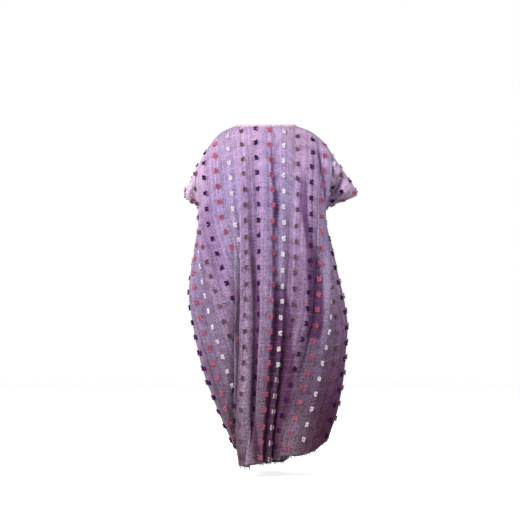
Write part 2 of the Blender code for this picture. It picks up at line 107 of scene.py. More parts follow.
# %% Flat sizes and the shoulder line
SIDES = ("back", "front")
HALF_WIDTH = 0.54  # flat cloth, from the centre row to a side seam
CUT_LENGTH = 1.42  # flat cloth, from the shoulder line to the hem
ARM_SHARE = 0.23  # the line at the bottom of the arm opening
ARM_LINE_DROP = 0.30  # how far that line hangs below the neck, at the middle
ARM_LINE_DIP = 0.048  # how much lower it hangs under the arms
ARM_DIP_AT = (0.08, 0.30)  # where across the dip begins, and over how much cloth it comes
NECK_HALF_WIDTH = 0.121
NECK_FLAT = 0.125  # half the neck opening, measured on the cloth
NECK_SIDE_DROP = 0.006  # how far the sides of the neck opening lie below the origin
NECK_SCOOP = {"back": 0.052, "front": 0.105}  # from the shoulder line to the opening's edge
NECK_DROP = {"back": 0.002, "front": 0.070}  # how far that edge lies below the sides

SHOULDER_LINE = {
    # across, x, y, z
    "left": (
        (0.125, 0.121, 0, -0.006), (0.190, 0.182, 0, -0.033), (0.258, 0.228, -0.003, -0.083),
        (0.340, 0.271, -0.012, -0.156), (0.400, 0.293, -0.022, -0.207),
        (0.465, 0.320, -0.037, -0.255), (0.540, 0.328, -0.058, -0.296),
    ),
    "right": (
        (0.125, 0.121, 0, -0.006), (0.190, 0.1845, 0, -0.031), (0.265, 0.242, -0.003, -0.080),
        (0.325, 0.275, -0.010, -0.129), (0.385, 0.3075, -0.020, -0.178),
        (0.445, 0.344, -0.032, -0.2275), (0.505, 0.371, -0.048, -0.272),
        (0.540, 0.376, -0.058, -0.288),
    ),
}


def shoulder_line(side, across):
    """The top edge of a panel: round the neck opening, then along the shoulders and arms."""
    points = np.zeros((len(across), 3))
    for i, a in enumerate(across):
        if abs(a) < NECK_FLAT:
            over = a / NECK_FLAT
            down = math.sqrt(1 - over**2)
            depth = NECK_SCOOP[side] * (1 if side == "back" else -1)
            z = -NECK_SIDE_DROP - NECK_DROP[side] * down
            points[i] = (NECK_HALF_WIDTH * over, depth * down, z)
            continue
        table = SHOULDER_LINE["left" if a > 0 else "right"]
        x, y, z = (float(curve_through(table, c, abs(a))) for c in (1, 2, 3))
        points[i] = (math.copysign(x, a), y, z)
    return points


print(f"each width is cut {2 * HALF_WIDTH:.2f} m by {CUT_LENGTH:.2f} m")

# %% [markdown]
# ## How the cloth falls
#
# Between the shoulder line and the bottom of the arm openings the cloth stands off the body in
# wide soft bells, given as a distance from the straight line down. Below that the robe is a
# tube. Its outline is given at a dozen heights, and the hem by how low it hangs, since a
# boubou's hem dips at the back and lifts at the sides.

# %% Stand-off, outline and hem tables
STAND_EARLY = 0.6  # how much of this comes near the shoulder line, with a flat landing below
STAND_OFF = {
    # across, sideways, backwards
    "back": (
        (0.00, 0.000, 0.014), (0.12, 0.000, 0.026), (0.20, 0.004, 0.040), (0.28, 0.010, 0.058),
        (0.36, 0.018, 0.084), (0.45, 0.018, 0.096), (0.54, 0.014, 0.084),
    ),
    "front": (
        (0.00, 0.000, -0.030), (0.12, 0.004, -0.036), (0.20, 0.016, -0.036), (0.28, 0.026, -0.040),
        (0.36, 0.032, -0.052), (0.45, 0.030, -0.072), (0.54, 0.012, -0.090),
    ),
}
SLEEVE_TURN = 0.6  # how steeply the sleeves come in to the arm line: 0 is straight down
SLEEVE_AT = (0.15, 0.25)  # where across the sleeves begin, and over how much cloth

# back and front are measured from the widest line, which lies widest_y behind the origin, and
# centre_x is where the cloth's centre row hangs.
OUTLINE = (
    # z, left, right, widest_y, back, front, centre_x
    (-0.34, 0.282, 0.262, 0.000, 0.140, 0.225, -0.010),
    (-0.42, 0.288, 0.268, 0.005, 0.137, 0.245, -0.010),
    (-0.50, 0.295, 0.284, 0.010, 0.136, 0.262, -0.010),
    (-0.60, 0.306, 0.301, 0.014, 0.138, 0.278, -0.009),
    (-0.70, 0.315, 0.321, 0.016, 0.142, 0.288, -0.007),
    (-0.80, 0.302, 0.335, 0.017, 0.146, 0.292, -0.003),
    (-0.90, 0.282, 0.330, 0.018, 0.146, 0.294, 0.002),
    (-1.00, 0.256, 0.322, 0.018, 0.144, 0.294, 0.008),
    (-1.10, 0.219, 0.307, 0.018, 0.140, 0.292, 0.017),
    (-1.20, 0.181, 0.284, 0.018, 0.136, 0.288, 0.026),
    (-1.30, 0.136, 0.236, 0.018, 0.132, 0.282, 0.033),
    (-1.40, 0.112, 0.180, 0.018, 0.130, 0.276, 0.036),
)
OUTLINE_POWER = 2.15  # 2 is an ellipse, and more is squarer

HEM = {
    # across, z
    "back": (
        (-0.54, -1.250), (-0.494, -1.270), (-0.434, -1.305), (-0.374, -1.336), (-0.314, -1.350),
        (-0.254, -1.350), (-0.180, -1.362), (-0.074, -1.376), (0.000, -1.384), (0.106, -1.394),
        (0.180, -1.372), (0.300, -1.336), (0.420, -1.316), (0.54, -1.302),
    ),
    "front": (
        (-0.54, -1.250), (-0.40, -1.300), (-0.24, -1.342), (-0.12, -1.356), (-0.06, -1.394),
        (0.00, -1.402), (0.12, -1.396), (0.24, -1.380), (0.40, -1.344), (0.54, -1.302),
    ),
}
lowest = min(z for line in HEM.values() for _, z in line)
print(f"the hem's lowest place hangs {-lowest:.2f} m below the shoulders")

# %% The smooth loop of the robe at one height
LOOP_STEPS = 1440  # over two whole turns


class Loop:
    """The robe's smooth outline at one height, measured along its edge from the back."""

    def __init__(self, left_z, right_z, back_z, front_z):
        left = float(curve_through(OUTLINE, 1, left_z))
        right = float(curve_through(OUTLINE, 2, right_z))
        widest, back, centre = (float(curve_through(OUTLINE, c, back_z)) for c in (3, 4, 6))
        front = float(curve_through(OUTLINE, 5, front_z))
        turn = np.linspace(-2 * math.pi, 2 * math.pi, LOOP_STEPS + 1)
        power = 2.0 / OUTLINE_POWER
        across, along = np.sin(turn), np.cos(turn)
        self.x = np.where(across > 0, left, right) * np.sign(across) * np.abs(across) ** power
        depth = np.where(along > 0, back, front)
        self.y = widest + depth * np.sign(along) * np.abs(along) ** power
        steps = np.hypot(np.diff(self.x), np.diff(self.y))
        self.s = np.concatenate([[0.0], np.cumsum(steps)])
        middle, eighth = LOOP_STEPS // 2, LOOP_STEPS // 16
        near = slice(middle - eighth, middle + eighth)
        self.s -= np.interp(centre, self.x[near], self.s[near])
        self.round = float(steps[:middle].sum())

    def point(self, s):
        return np.interp(s, self.s, self.x), np.interp(s, self.s, self.y)


print(f"round the hips the smooth robe measures {Loop(-0.7, -0.7, -0.7, -0.7).round:.2f} m")

# %% [markdown]
# ## The folds
#
# The cloth is wider than the loop it hangs on, and folds that run from the shoulders to the hem
# take up the difference. A fold is a pleat pressed in: it hides some cloth and has a depth. The
# back's folds are listed one by one at four heights, because they give this robe its look, and
# the front's share out whatever cloth is spare. Each is one smooth wave with a rounded tip, so
# that two walls of a fold never meet.

# %% Fold tables
FOLD_HEIGHTS = (-0.34, -0.80, -1.10, -1.39)  # the arm line, the hips, the knees and the hem
BACK_FOLDS = (
    # starts, towards, width, hidden, pleats, lean, and by what share of the way from the
    # shoulder line to the arm line the whole fold is there
    ((0.012,) * 4, 1, (0.092, 0.092, 0.094, 0.096), (0.010, 0.014, 0.022, 0.034), 1, 0, 0.6),
    ((0.128,) * 4, 1, (0.070, 0.205, 0.300, 0.372), (0.006, 0.150, 0.256, 0.330), 2, 0.5, 1),
    ((0.345, 0.380, 0.440, 0.508), 1, (0.150, 0.110, 0.060, 0.020), (0.012, 0.004, 0, 0), 1, 0, 1),
    ((-0.020,) * 4, -1, (0.052,) * 4, (0.010, 0.015, 0.019, 0.022), 1, 0, 0.35),
    ((-0.082,) * 4, -1, (0.060, 0.060, 0.104, 0.138), (0.002, 0.010, 0.064, 0.116), 1, 0.6, 1),
    ((-0.204, -0.204, -0.200, -0.222), -1, (0.060, 0.060, 0.050, 0.030), (0.006, 0.014, 0, 0), 1, 0, 0.6),
    ((-0.270,) * 4, -1, (0.200,) * 4, (0.030, 0.008, 0.000, 0.000), 1, 0, 1),
)
FRONT_FOLDS = (
    # middle, width, share of the spare cloth, and the same share of the way
    (-0.455, 0.110, 0.16, 1.00), (-0.340, 0.090, 0.12, 0.80), (-0.225, 0.100, 0.15, 0.60),
    (-0.110, 0.070, 0.06, 0.75), (-0.020, 0.080, 0.08, 0.50), (0.085, 0.090, 0.07, 0.70),
    (0.190, 0.075, 0.12, 0.55), (0.300, 0.100, 0.14, 0.85), (0.410, 0.090, 0.10, 0.95),
)
MOST_HIDDEN = 0.75  # of a front fold's width
FOLD_FULLNESS = 0.48
FOLD_AXIS_Y = -0.06  # folds point to an upright axis here
TIP_ROOM = 0.9  # how much of a fold's opening lies at its tips and ridges, and not in its sides
PLEAT_SUNK = 0.15  # how far in the cloth between two pleats lies, as a share of their depth
FOLD_SHOWS = 0.06  # the hidden share of a fold's width at which it has its full depth
SLACK = 0.97  # soft small folds take up the rest of the width
print(f"{len(BACK_FOLDS)} folds down the back and {len(FRONT_FOLDS)} down the front")

# %% The shape of one fold, and of all the folds on a line


def fold_shape(inside, width, hidden, pleats=1, lean=0.0):
    """How deep the cloth lies in a fold, for places that are shares of the way through it."""
    opening = width - hidden
    full = FOLD_FULLNESS * math.sqrt(max(width * width - opening * opening, 0.0))
    full *= float(smooth_step(hidden / width / FOLD_SHOWS)) / pleats / math.hypot(1.0, lean)
    pressed = np.sin(pleats * math.pi * inside) ** 2
    between = (1.0 - pressed) * np.sin(math.pi * inside) ** 2 * (pleats > 1)
    return full * (pressed + PLEAT_SUNK * between)


def fold_shift(inside, width, hidden, pleats=1):
    """How far a fold draws in the cloth inside and beyond it. Its tips and ridges stay round."""
    turns = 4 * math.pi * pleats
    rounding = TIP_ROOM * (width - hidden) * hidden / width
    return hidden * inside - rounding * np.sin(turns * inside) / turns


def line_on_back(across, z, above):
    """Places along the loop, the depth of the folds and their lean, for one line of the back."""
    place, depth, lean = across.copy(), np.zeros_like(across), np.zeros_like(across)
    for starts, towards, width, hidden, pleats, slant, begun in BACK_FOLDS:
        starts, width, hidden = (
            float(np.interp(-z, [-h for h in FOLD_HEIGHTS], column))
            for column in (starts, width, hidden)
        )
        hidden *= smooth_step(above / begun)
        inside = np.clip((across - starts) * towards / width, 0.0, 1.0)
        place -= towards * fold_shift(inside, width, hidden, pleats)
        pressed = fold_shape(inside, width, hidden, pleats, slant)
        depth += pressed
        lean -= towards * slant * pressed
    return place * SLACK, depth, lean


def line_on_front(across, loop, left_place, right_place, above):
    """The same for one line of the front, between the places of the two side seams."""
    room = loop.round - left_place + right_place
    spare = max(2 * HALF_WIDTH - room / SLACK, 0.0)
    from_left = HALF_WIDTH - across
    place, depth = from_left.copy(), np.zeros_like(across)
    for middle, width, share, begun in FRONT_FOLDS:
        hidden = min(spare * share, MOST_HIDDEN * width) * smooth_step(above / begun) ** 2
        inside = np.clip((from_left - HALF_WIDTH + middle) / width + 0.5, 0.0, 1.0)
        place -= fold_shift(inside, width, hidden)
        depth += fold_shape(inside, width, hidden)
    place *= room / place[across.argmin()]
    return left_place + place, depth


print(f"a fold 60 mm wide that hides 20 mm is {1000 * fold_shape(0.5, 0.060, 0.020):.0f} mm deep")

# %% [markdown]
# ## Draping a width of cloth
#
# Now the tables become a surface. Each line across the cloth is laid on its loop, with the folds'
# hidden cloth taken up, and above the arm line it is blended with the shoulder line. Then the
# folds are pressed in along softened directions. The result is a grid for the middle of the
# cloth, first at the spacing that the frame's own panels have, and later drawn finer, so that
# the curves look like gauze and not like card.

# %% Lay the lines of a panel
FRAME_PLACES = round(2 * HALF_WIDTH / 0.0066) + 1  # across a panel, as the frame's own grid has
FRAME_LINES = round(1.40 / 0.008) + 1  # and down it
EARLY_PEAK = 27 / 4  # makes the early stand-off 1 a third of the way down


def line_heights(side, across, shares):
    """The height of the cloth at every place on every line from the arm line down."""
    arm_z = -ARM_LINE_DROP - ARM_LINE_DIP * rise(np.abs(across), *ARM_DIP_AT)
    hem_z = curve_through(HEM[side], 1, across)
    below = np.clip((shares - ARM_SHARE) / (1.0 - ARM_SHARE), 0.0, 1.0)
    return arm_z + (hem_z - arm_z) * below[:, None]


def panel_lines(side, across, shares):
    """The panel's smooth surface, and the depth and lean of its folds, line by line."""
    top = shoulder_line(side, across)
    sideways, backwards = (curve_through(STAND_OFF[side], c, np.abs(across)) for c in (1, 2))
    stand = np.stack([sideways * np.sign(across), backwards, 0 * across], axis=1)
    sleeve = rise(np.abs(across), *SLEEVE_AT)
    heights = {name: line_heights(name, across, shares) for name in SIDES}
    middle = len(across) // 2
    edges = np.array([HALF_WIDTH, -HALF_WIDTH])
    points, depths, leans = [], [], []
    for k, share in enumerate(shares):
        above = min(share / ARM_SHARE, 1.0)
        z = heights[side][k]
        back_z, front_z = heights["back"][k, middle], heights["front"][k, middle]
        loop = Loop(z[-1], z[0], back_z, front_z)
        (left_seam, right_seam), _, _ = line_on_back(edges, back_z, 1.0)
        if side == "back":
            place, _, _ = line_on_back(across, back_z, 1.0)
            _, depth, lean = line_on_back(across, back_z, above)
        else:
            place, _ = line_on_front(across, loop, left_seam, right_seam, 1.0)
            _, depth = line_on_front(across, loop, left_seam, right_seam, above)
            lean = np.zeros_like(depth)
        x, y = loop.point(place)
        base = np.stack([x, y, z], axis=1)
        if above < 1.0:
            turned = (1.0 - math.cos(math.pi * above)) / 2
            way = above + SLEEVE_TURN * sleeve * (turned - above)
            early = EARLY_PEAK * above * (1.0 - above) ** 2
            bulge = early * STAND_EARLY + math.sin(math.pi * above) * (1.0 - STAND_EARLY)
            base = top + (base - top) * way[:, None] + stand * bulge
        points.append(base)
        depths.append(depth)
        leans.append(lean)
    return np.array(points), np.array(depths), np.array(leans)


print(f"a panel is first laid on {FRAME_LINES} lines with {FRAME_PLACES} places each")

# %% Ease the turn at the arm line, and press the folds in
EASED_OVER, EASING = 0.08, 0.025  # shares down the cloth: how far the easing reaches, and its blur
UNEASED_AT = (0.34, 0.18)  # where across it begins to fade out, and over how much cloth
FOLD_SOFTENING = 30  # passes over the directions that folds are pressed in


def eased(points, across, shares):
    """The surface with the turn at the arm line rounded off, except at the side edges."""
    result = points.copy()
    kept = rise(np.abs(across), *UNEASED_AT)[:, None]
    for k, share in enumerate(shares):
        amount = math.exp(-(((share - ARM_SHARE) / EASED_OVER) ** 2))
        weights = np.exp(-(((shares - share) / EASING) ** 2))
        weights /= weights.sum()
        mean = np.tensordot(weights, points, axes=(0, 0))
        result[k] = points[k] + (mean - points[k]) * amount * (1.0 - kept)
    return result


def surface_out(points, side):
    """Unit vectors out of the cloth at each point."""
    out = np.cross(np.gradient(points, axis=1), np.gradient(points, axis=0))
    return unit(out if side == "back" else -out)


def softened(vectors, passes):
    """Directions averaged with their neighbours on the grid, over and over."""
    for _ in range(passes):
        padded = np.pad(vectors, ((1, 1), (1, 1), (0, 0)), mode="edge")
        vectors = (padded[:-2, 1:-1] + padded[2:, 1:-1] + padded[1:-1, :-2] + padded[1:-1, 2:]) / 4
    return unit(vectors)


def draped_panel(side):
    """The middle of a panel's cloth on a grid of lines by places across, and its folds' depth."""
    across = np.linspace(-HALF_WIDTH, HALF_WIDTH, FRAME_PLACES)
    shares = np.linspace(0.0, 1.0, FRAME_LINES)
    smooth, depth, lean = panel_lines(side, across, shares)
    smooth = eased(smooth, across, shares)
    axis_x = curve_through(OUTLINE, 6, smooth[..., 2].ravel()).reshape(smooth.shape[:2])
    outward = np.stack([smooth[..., 0] - axis_x, smooth[..., 1] - FOLD_AXIS_Y, 0 * axis_x], axis=2)
    body = rise(shares, 0.5 * ARM_SHARE, 0.5 * ARM_SHARE)[:, None, None]
    out = surface_out(smooth, side) * (1.0 - body) + unit(outward) * body
    out = softened(out, FOLD_SOFTENING)
    sideways = unit(np.stack([out[..., 1], -out[..., 0], 0 * axis_x], axis=2))
    return across, shares, smooth - out * depth[..., None] + sideways * lean[..., None], depth


draped = {side: draped_panel(side) for side in SIDES}
for side, (*_, depth) in draped.items():
    print(f"the folds of the {side} are up to {1000 * depth.max():.0f} mm deep")

# %% [markdown]
# ## The main creases
#
# Between the pressed folds the cloth still falls in soft creases of its own, and these make the
# look of the robe: one beside the shoulder fold, one that widens down the middle, and a deep one
# under the right arm. No random pattern puts them there, so each is a short table of places on
# the flat cloth. A crease also carries painted shade: the cloth's colour is made darker in it and
# beside it, where shade falls, and some rows are painted shade alone, with no crease pressed in.
# One whose shade is below nothing is a ridge with a painted highlight. A crease that ends beyond
# 1 runs off the hem.

# %% Place the main creases
MAIN_CREASES = {
    # the most that it is pressed in, its painted shade (below nothing, a painted highlight), and the
    # share of its half width that a side takes, then rows: share down, its middle across, half its
    # width, how strong it is there
    "back": (
        (0.007, 0.84, 0.65, (0.1, 0.094, 0.008, 0.2), (0.2, 0.092, 0.012, 0.4),
         (0.32, 0.087, 0.014, 0.65), (0.44, 0.072, 0.018, 0.85), (0.55, 0.054, 0.024, 0.9),
         (0.67, 0.052, 0.018, 1), (0.79, 0.046, 0.021, 1), (0.9, 0.026, 0.027, 1),
         (0.97, 0.002, 0.024, 1), (1.05, -0.014, 0.022, 0.9)),
        (0.006, 0.8, 0.6, (0.04, -0.014, 0.007, 0.6), (0.1, -0.02, 0.01, 0.8),
         (0.16, -0.025, 0.013, 0.9), (0.21, -0.033, 0.016, 0.9), (0.27, -0.036, 0.021, 0.9),
         (0.32, -0.029, 0.017, 1), (0.44, -0.03, 0.018, 1), (0.54, -0.032, 0.016, 0.7)),
        (0.006, 0.86, 0.3, (0.46, -0.06, 0.024, 0.3), (0.5, -0.072, 0.044, 0.85),
         (0.55, -0.078, 0.056, 0.95), (0.6, -0.084, 0.07, 1), (0.66, -0.09, 0.085, 1),
         (0.74, -0.11, 0.11, 1), (0.8, -0.116, 0.118, 1), (0.86, -0.122, 0.122, 1),
         (0.92, -0.115, 0.112, 1), (0.97, -0.122, 0.118, 1), (1.05, -0.125, 0.12, 1)),
        (0, 0.36, 1, (0.58, -0.2, 0.1, 0.4), (0.66, -0.22, 0.16, 1), (0.84, -0.26, 0.17, 1),
         (0.89, -0.27, 0.17, 0.6)),
        (-0.014, -0.25, 1, (0.11, -0.22, 0.02, 0.4), (0.18, -0.228, 0.032, 1),
         (0.3, -0.238, 0.032, 1), (0.38, -0.244, 0.02, 0.4)),
        (0.002, 0.8, 0.55, (0.12, -0.156, 0.01, 0.3), (0.18, -0.162, 0.018, 0.75),
         (0.25, -0.162, 0.024, 0.95), (0.3, -0.174, 0.02, 1), (0.35, -0.189, 0.022, 1),
         (0.41, -0.198, 0.024, 1), (0.47, -0.2, 0.02, 0.6)),
        (0, 0.88, 0.3, (0.35, -0.205, 0.02, 0.6), (0.39, -0.213, 0.04, 0.9),
         (0.44, -0.221, 0.046, 1), (0.5, -0.228, 0.048, 1), (0.56, -0.235, 0.051, 1),
         (0.66, -0.246, 0.048, 1)),
        (-0.005, 0, 1, (0.34, -0.214, 0.02, 0.4), (0.42, -0.222, 0.03, 1), (0.58, -0.232, 0.034, 1),
         (0.68, -0.24, 0.03, 0.4)),
        (0, 0.42, 1, (0.19, 0.27, 0.04, 0.4), (0.25, 0.285, 0.062, 1), (0.38, 0.305, 0.066, 1),
         (0.48, 0.31, 0.07, 0.6)),
        (0, 0.34, 1, (0.33, -0.1, 0.05, 0.4), (0.42, -0.125, 0.08, 1), (0.58, -0.15, 0.08, 1),
         (0.66, -0.17, 0.06, 0.5)),
        (0, -0.42, 0.8, (0.24, 0.16, 0.025, 0.3), (0.3, 0.185, 0.042, 1), (0.38, 0.205, 0.046, 1),
         (0.45, 0.228, 0.044, 0.8), (0.53, 0.225, 0.03, 0.3)),
        (0, 0.42, 1, (0.66, 0.5, 0.05, 0.4), (0.76, 0.5, 0.065, 1), (0.88, 0.49, 0.065, 1),
         (0.96, 0.47, 0.05, 0.5)),
        (0, 0.22, 1, (0, -0.2, 0.06, 0.6), (0.06, -0.21, 0.08, 1), (0.13, -0.22, 0.08, 1),
         (0.2, -0.22, 0.05, 0.4)),
        (0, 0.22, 1, (0.12, 0.1, 0.025, 0.4), (0.17, 0.1, 0.04, 1), (0.21, 0.1, 0.04, 1),
         (0.26, 0.1, 0.03, 0.3)),
        (0, -0.13, 0.7, (0.87, -0.25, 0.09, 0.3), (0.92, -0.28, 0.11, 1), (1.05, -0.28, 0.12, 1)),
        (0, -0.28, 1, (0.44, 0.1, 0.015, 0.4), (0.55, 0.098, 0.025, 1), (0.75, 0.095, 0.03, 1),
         (0.82, 0.09, 0.03, 0.5)),
        (0.007, 0.4, 1, (0.45, 0.235, 0.02, 0.6), (0.52, 0.225, 0.06, 1), (0.58, 0.215, 0.08, 1),
         (0.65, 0.18, 0.07, 1), (0.76, 0.175, 0.05, 1), (0.82, 0.14, 0.012, 0.6)),
        (0.008, 0.6, 0.7, (0, -0.215, 0.01, 0.6), (0.08, -0.232, 0.011, 0.9),
         (0.12, -0.246, 0.012, 1), (0.16, -0.262, 0.014, 1), (0.2, -0.278, 0.016, 1),
         (0.25, -0.292, 0.01, 0.6)),
        (0, 0.28, 1, (0.25, 0.32, 0.03, 0.3), (0.34, 0.325, 0.055, 0.9), (0.43, 0.385, 0.08, 1),
         (0.53, 0.42, 0.08, 0.9), (0.64, 0.43, 0.06, 0.3)),
        (0.003, 0.95, 0.75, (0.5, -0.38, 0.1, 0.2), (0.66, -0.4, 0.15, 0.5),
         (0.8, -0.41, 0.16, 0.85), (0.9, -0.43, 0.16, 1), (1.05, -0.44, 0.18, 1)),
        (-0.013, -0.45, 0.9, (0.58, 0.098, 0.025, 0.2), (0.72, 0.092, 0.03, 0.8),
         (0.8, 0.088, 0.036, 1), (0.9, 0.076, 0.042, 1), (0.97, 0.062, 0.044, 1),
         (1.05, 0.05, 0.044, 1)),
        (0.007, 0.55, 0.6, (0.02, -0.285, 0.008, 0.5), (0.08, -0.312, 0.013, 1),
         (0.14, -0.33, 0.014, 1), (0.22, -0.35, 0.012, 0.6)),
        (0.006, 0.45, 0.6, (0.02, -0.37, 0.008, 0.4), (0.07, -0.392, 0.012, 1),
         (0.12, -0.405, 0.012, 0.8), (0.17, -0.42, 0.01, 0.5)),
        (0.006, 0.5, 1, (0.11, -0.345, 0.05, 0.3), (0.14, -0.355, 0.075, 1),
         (0.17, -0.365, 0.07, 0.3)),
        (0.005, 0.26, 0.7, (0.03, 0.32, 0.008, 0.5), (0.09, 0.342, 0.013, 1),
         (0.15, 0.362, 0.012, 0.8), (0.21, 0.38, 0.01, 0.5)),
        (-0.011, -0.3, 1, (0.84, 0.068, 0.024, 0.2), (0.9, 0.066, 0.034, 0.9),
         (0.95, 0.062, 0.038, 1), (1.05, 0.052, 0.04, 0.8)),
        (-0.01, -0.3, 1, (0.34, -0.288, 0.022, 0.4), (0.42, -0.29, 0.032, 1),
         (0.55, -0.298, 0.034, 1), (0.7, -0.312, 0.03, 0.5)),
    ),
    "front": (
        (0.009, 0.5, 0.6, (0.1, 0.06, 0.006, 0.4), (0.3, 0.052, 0.012, 0.7),
         (0.55, 0.048, 0.018, 1), (0.8, 0.06, 0.03, 1), (1.05, 0.072, 0.042, 1)),
        (0.008, 0.45, 0.6, (0.13, -0.085, 0.006, 0.4), (0.35, -0.08, 0.014, 0.8),
         (0.6, -0.075, 0.022, 1), (0.85, -0.06, 0.036, 1), (1.05, -0.052, 0.042, 1)),
        (0.01, 0.6, 0.4, (0.16, -0.19, 0.008, 0.5), (0.3, -0.205, 0.024, 0.9),
         (0.45, -0.215, 0.03, 1), (0.6, -0.222, 0.026, 1), (0.72, -0.228, 0.008, 0.7)),
        (0.01, 0.55, 0.4, (0.15, 0.185, 0.008, 0.5), (0.32, 0.205, 0.022, 0.9),
         (0.5, 0.214, 0.026, 1), (0.66, 0.22, 0.008, 0.7)),
    ),
}
CREASE_END = 0.03  # the share of the cloth over which a crease begins and ends


def main_creases(side, across, lines):
    """How deep the cloth's own creases lie, and their painted shade and the painted highlight on ridges.
    """
    pressed, dark, pale = np.zeros((3, len(lines), len(across)))
    for depth, shade, sides, *rows in MAIN_CREASES[side]:
        share, middle, half, strength = np.array(rows).T
        middle = curve_between(share, middle, lines)[:, None]
        half, strength = (np.interp(lines, share, c)[:, None] for c in (half, strength))
        ends = smooth_step(np.minimum(lines - share[0], share[-1] - lines) / CREASE_END)
        aside = np.clip(1.0 - np.abs(across - middle) / half, 0.0, 1.0)
        trough = smooth_step(aside / sides) * strength * ends[:, None]
        pressed += trough * depth
        # painted shade in the creases, and painted highlight on ridges where the shade is below nothing
        dark = np.maximum(dark, trough * shade)
        pale = np.minimum(pale, trough * shade)
    return pressed, dark + pale


print({side: len(creases) for side, creases in MAIN_CREASES.items()}, "main creases")

# %% [markdown]
# ## Small creases and a finer grid
#
# Gauze that is worn is never quite smooth: it is lightly crumpled between the rows. A
# displacement modifier with a noise texture could make that, but it would also open the seams.
# Here random spline hills on a fixed seed do it, and they fade out towards every sewn edge.

# %% Random hills, fixed by a seed
PLACES, LINES = 193, 221  # the finer grid, over a panel and down it
CREASES = (
    # seed, hills across, hills down, height
    (11, 30, 4, 0.0028), (23, 54, 9, 0.0017), (37, 96, 54, 0.0008),
)
SEAM_FADE = 0.05  # how far from a sewn edge the creases begin
DEEP_FOLD, SMOOTHER_IN_FOLDS = 0.03, 0.7  # this deep in a fold the cloth is this much smoother


def spline_weights(count, hills):
    """How much each control value counts at even places along a smooth spline."""
    at = np.linspace(0, hills, count)
    first = np.minimum(at.astype(int), hills - 1)
    t = at - first
    basis = ((1 - t) ** 3, 3 * t**3 - 6 * t**2 + 4, -3 * t**3 + 3 * t**2 + 3 * t + 1, t**3)
    weights = np.zeros((count, hills + 3))
    for k, weight in enumerate(basis):
        weights[np.arange(count), first + k] = weight / 6
    return weights


def small_creases(side):
    """How far the cloth lies out of its smooth drape, over the whole panel."""
    relief = np.zeros((LINES, PLACES))
    for seed, hills_across, hills_down, height in CREASES:
        random = np.random.default_rng([seed, side == "back"])
        hills = random.uniform(-1.0, 1.0, (hills_down + 3, hills_across + 3))
        down, over = spline_weights(LINES, hills_down), spline_weights(PLACES, hills_across)
        relief += height * 2.0 * (down @ hills @ over.T)
    return relief


print(f"the small creases are up to {1000 * np.abs(small_creases('back')).max():.1f} mm high")

# %% Drape both widths


def fine_panel(side):
    """A panel's finished points, the way out of it at each, and the flat place of each."""
    at, shares, points, depth = draped[side]
    across, lines = np.linspace(-HALF_WIDTH, HALF_WIDTH, PLACES), np.linspace(0, 1, LINES)

    def finer(values):
        down = curve_between(shares, values, lines)
        return curve_between(at, down.swapaxes(0, 1), across).swapaxes(0, 1)

    points, depth = finer(points), finer(depth)
    points[0] = shoulder_line(side, across)
    out = surface_out(points, side)
    cut = NECK_SCOOP[side] * np.sqrt(np.clip(1.0 - (across / NECK_FLAT) ** 2, 0.0, 1.0))
    length = cut[None, :] + lines[:, None] * (CUT_LENGTH - cut[None, :])
    edge = np.minimum((HALF_WIDTH - np.abs(across))[None, :], lines[:, None] * CUT_LENGTH)
    near_edge = smooth_step(edge / SEAM_FADE)
    # shade is the painted shade in the creases, and painted highlight on ridges where below nothing
    pressed, shade = main_creases(side, across, lines)
    relief = small_creases(side) * (1.0 - SMOOTHER_IN_FOLDS * smooth_step(depth / DEEP_FOLD)) - pressed
    points = points + out * (relief * near_edge)[..., None]
    flat = np.stack([np.broadcast_to(across + HALF_WIDTH, length.shape), length], axis=2)
    return {"points": points, "out": surface_out(points, side), "flat": flat, "shade": shade}


cloth = {side: fine_panel(side) for side in SIDES}
for side, panel in cloth.items():
    print(side, "panel spans", np.round(np.ptp(panel["points"], axis=(0, 1)), 3), "m")

# %% [markdown]
# ## Short calls for node trees
#
# Weave, stripes, tufts and stitches are all node trees. They could be wired by hand in the
# editor, but a script is shorter with a few calls: one adds a node with its values and links,
# and a sum of two values adds the Math node for it. A tree's inputs get names, so that its sizes
# can be set from outside on each object or material.

# %% Values that can be summed
NODE_FAMILIES = ("ShaderNode", "GeometryNode", "FunctionNode")


class Value:
    """What comes out of a node. Sums of values add Math nodes, and [name] is another output."""

    def __init__(self, socket):
        self.socket = socket
        self.tree = socket.id_data

    def __getitem__(self, name):
        return Value(self.socket.node.outputs[name])

    def math(self, operation, *others):
        return add(self.tree, "Math", [self, *others], operation=operation)

    def __add__(self, other):
        return self.math("ADD", other)

    def __sub__(self, other):
        return self.math("SUBTRACT", other)

    def __mul__(self, other):
        return self.math("MULTIPLY", other)

    def ramp(self, low, high, least=0.0, most=1.0, kind="LINEAR"):
        return add(self.tree, "MapRange", [self, low, high, least, most], interpolation_type=kind)


def fill(node, inputs):
    """Set a node's inputs, by place or by name, or link them to the values of other nodes."""
    for key, value in inputs.items() if isinstance(inputs, dict) else enumerate(inputs):
        if isinstance(value, Value):
            node.id_data.links.new(value.socket, node.inputs[key])
        elif value is not None:
            node.inputs[key].default_value = value
    return node


def add(tree, kind, inputs=(), **settings):
    """Add a node with its settings and inputs, and give its first output."""
    family = next(family for family in NODE_FAMILIES if hasattr(bpy.types, family + kind))
    node = tree.nodes.new(family + kind)
    for name, value in settings.items():
        setattr(node, name, value)
    return Value(fill(node, inputs).outputs[0])


# %% Trees with named inputs


def new_tree(name, family, inputs, outputs):
    """A node group with named sockets: the tree, what it is given, and its output node.

    Each socket says its kind, or a number that it starts from.
    """
    tree = bpy.data.node_groups.new(name, family + "NodeTree")
    for way, sockets in (("INPUT", inputs), ("OUTPUT", outputs)):
        for label, value in sockets.items():
            kind = {int: "Int", float: "Float"}.get(type(value), value)
            made = tree.interface.new_socket(name=label, in_out=way, socket_type="NodeSocket" + kind)
            if kind != value:
                made.default_value = value
    given = Value(tree.nodes.new("NodeGroupInput").outputs[0])
    return tree, given, tree.nodes.new("NodeGroupOutput")


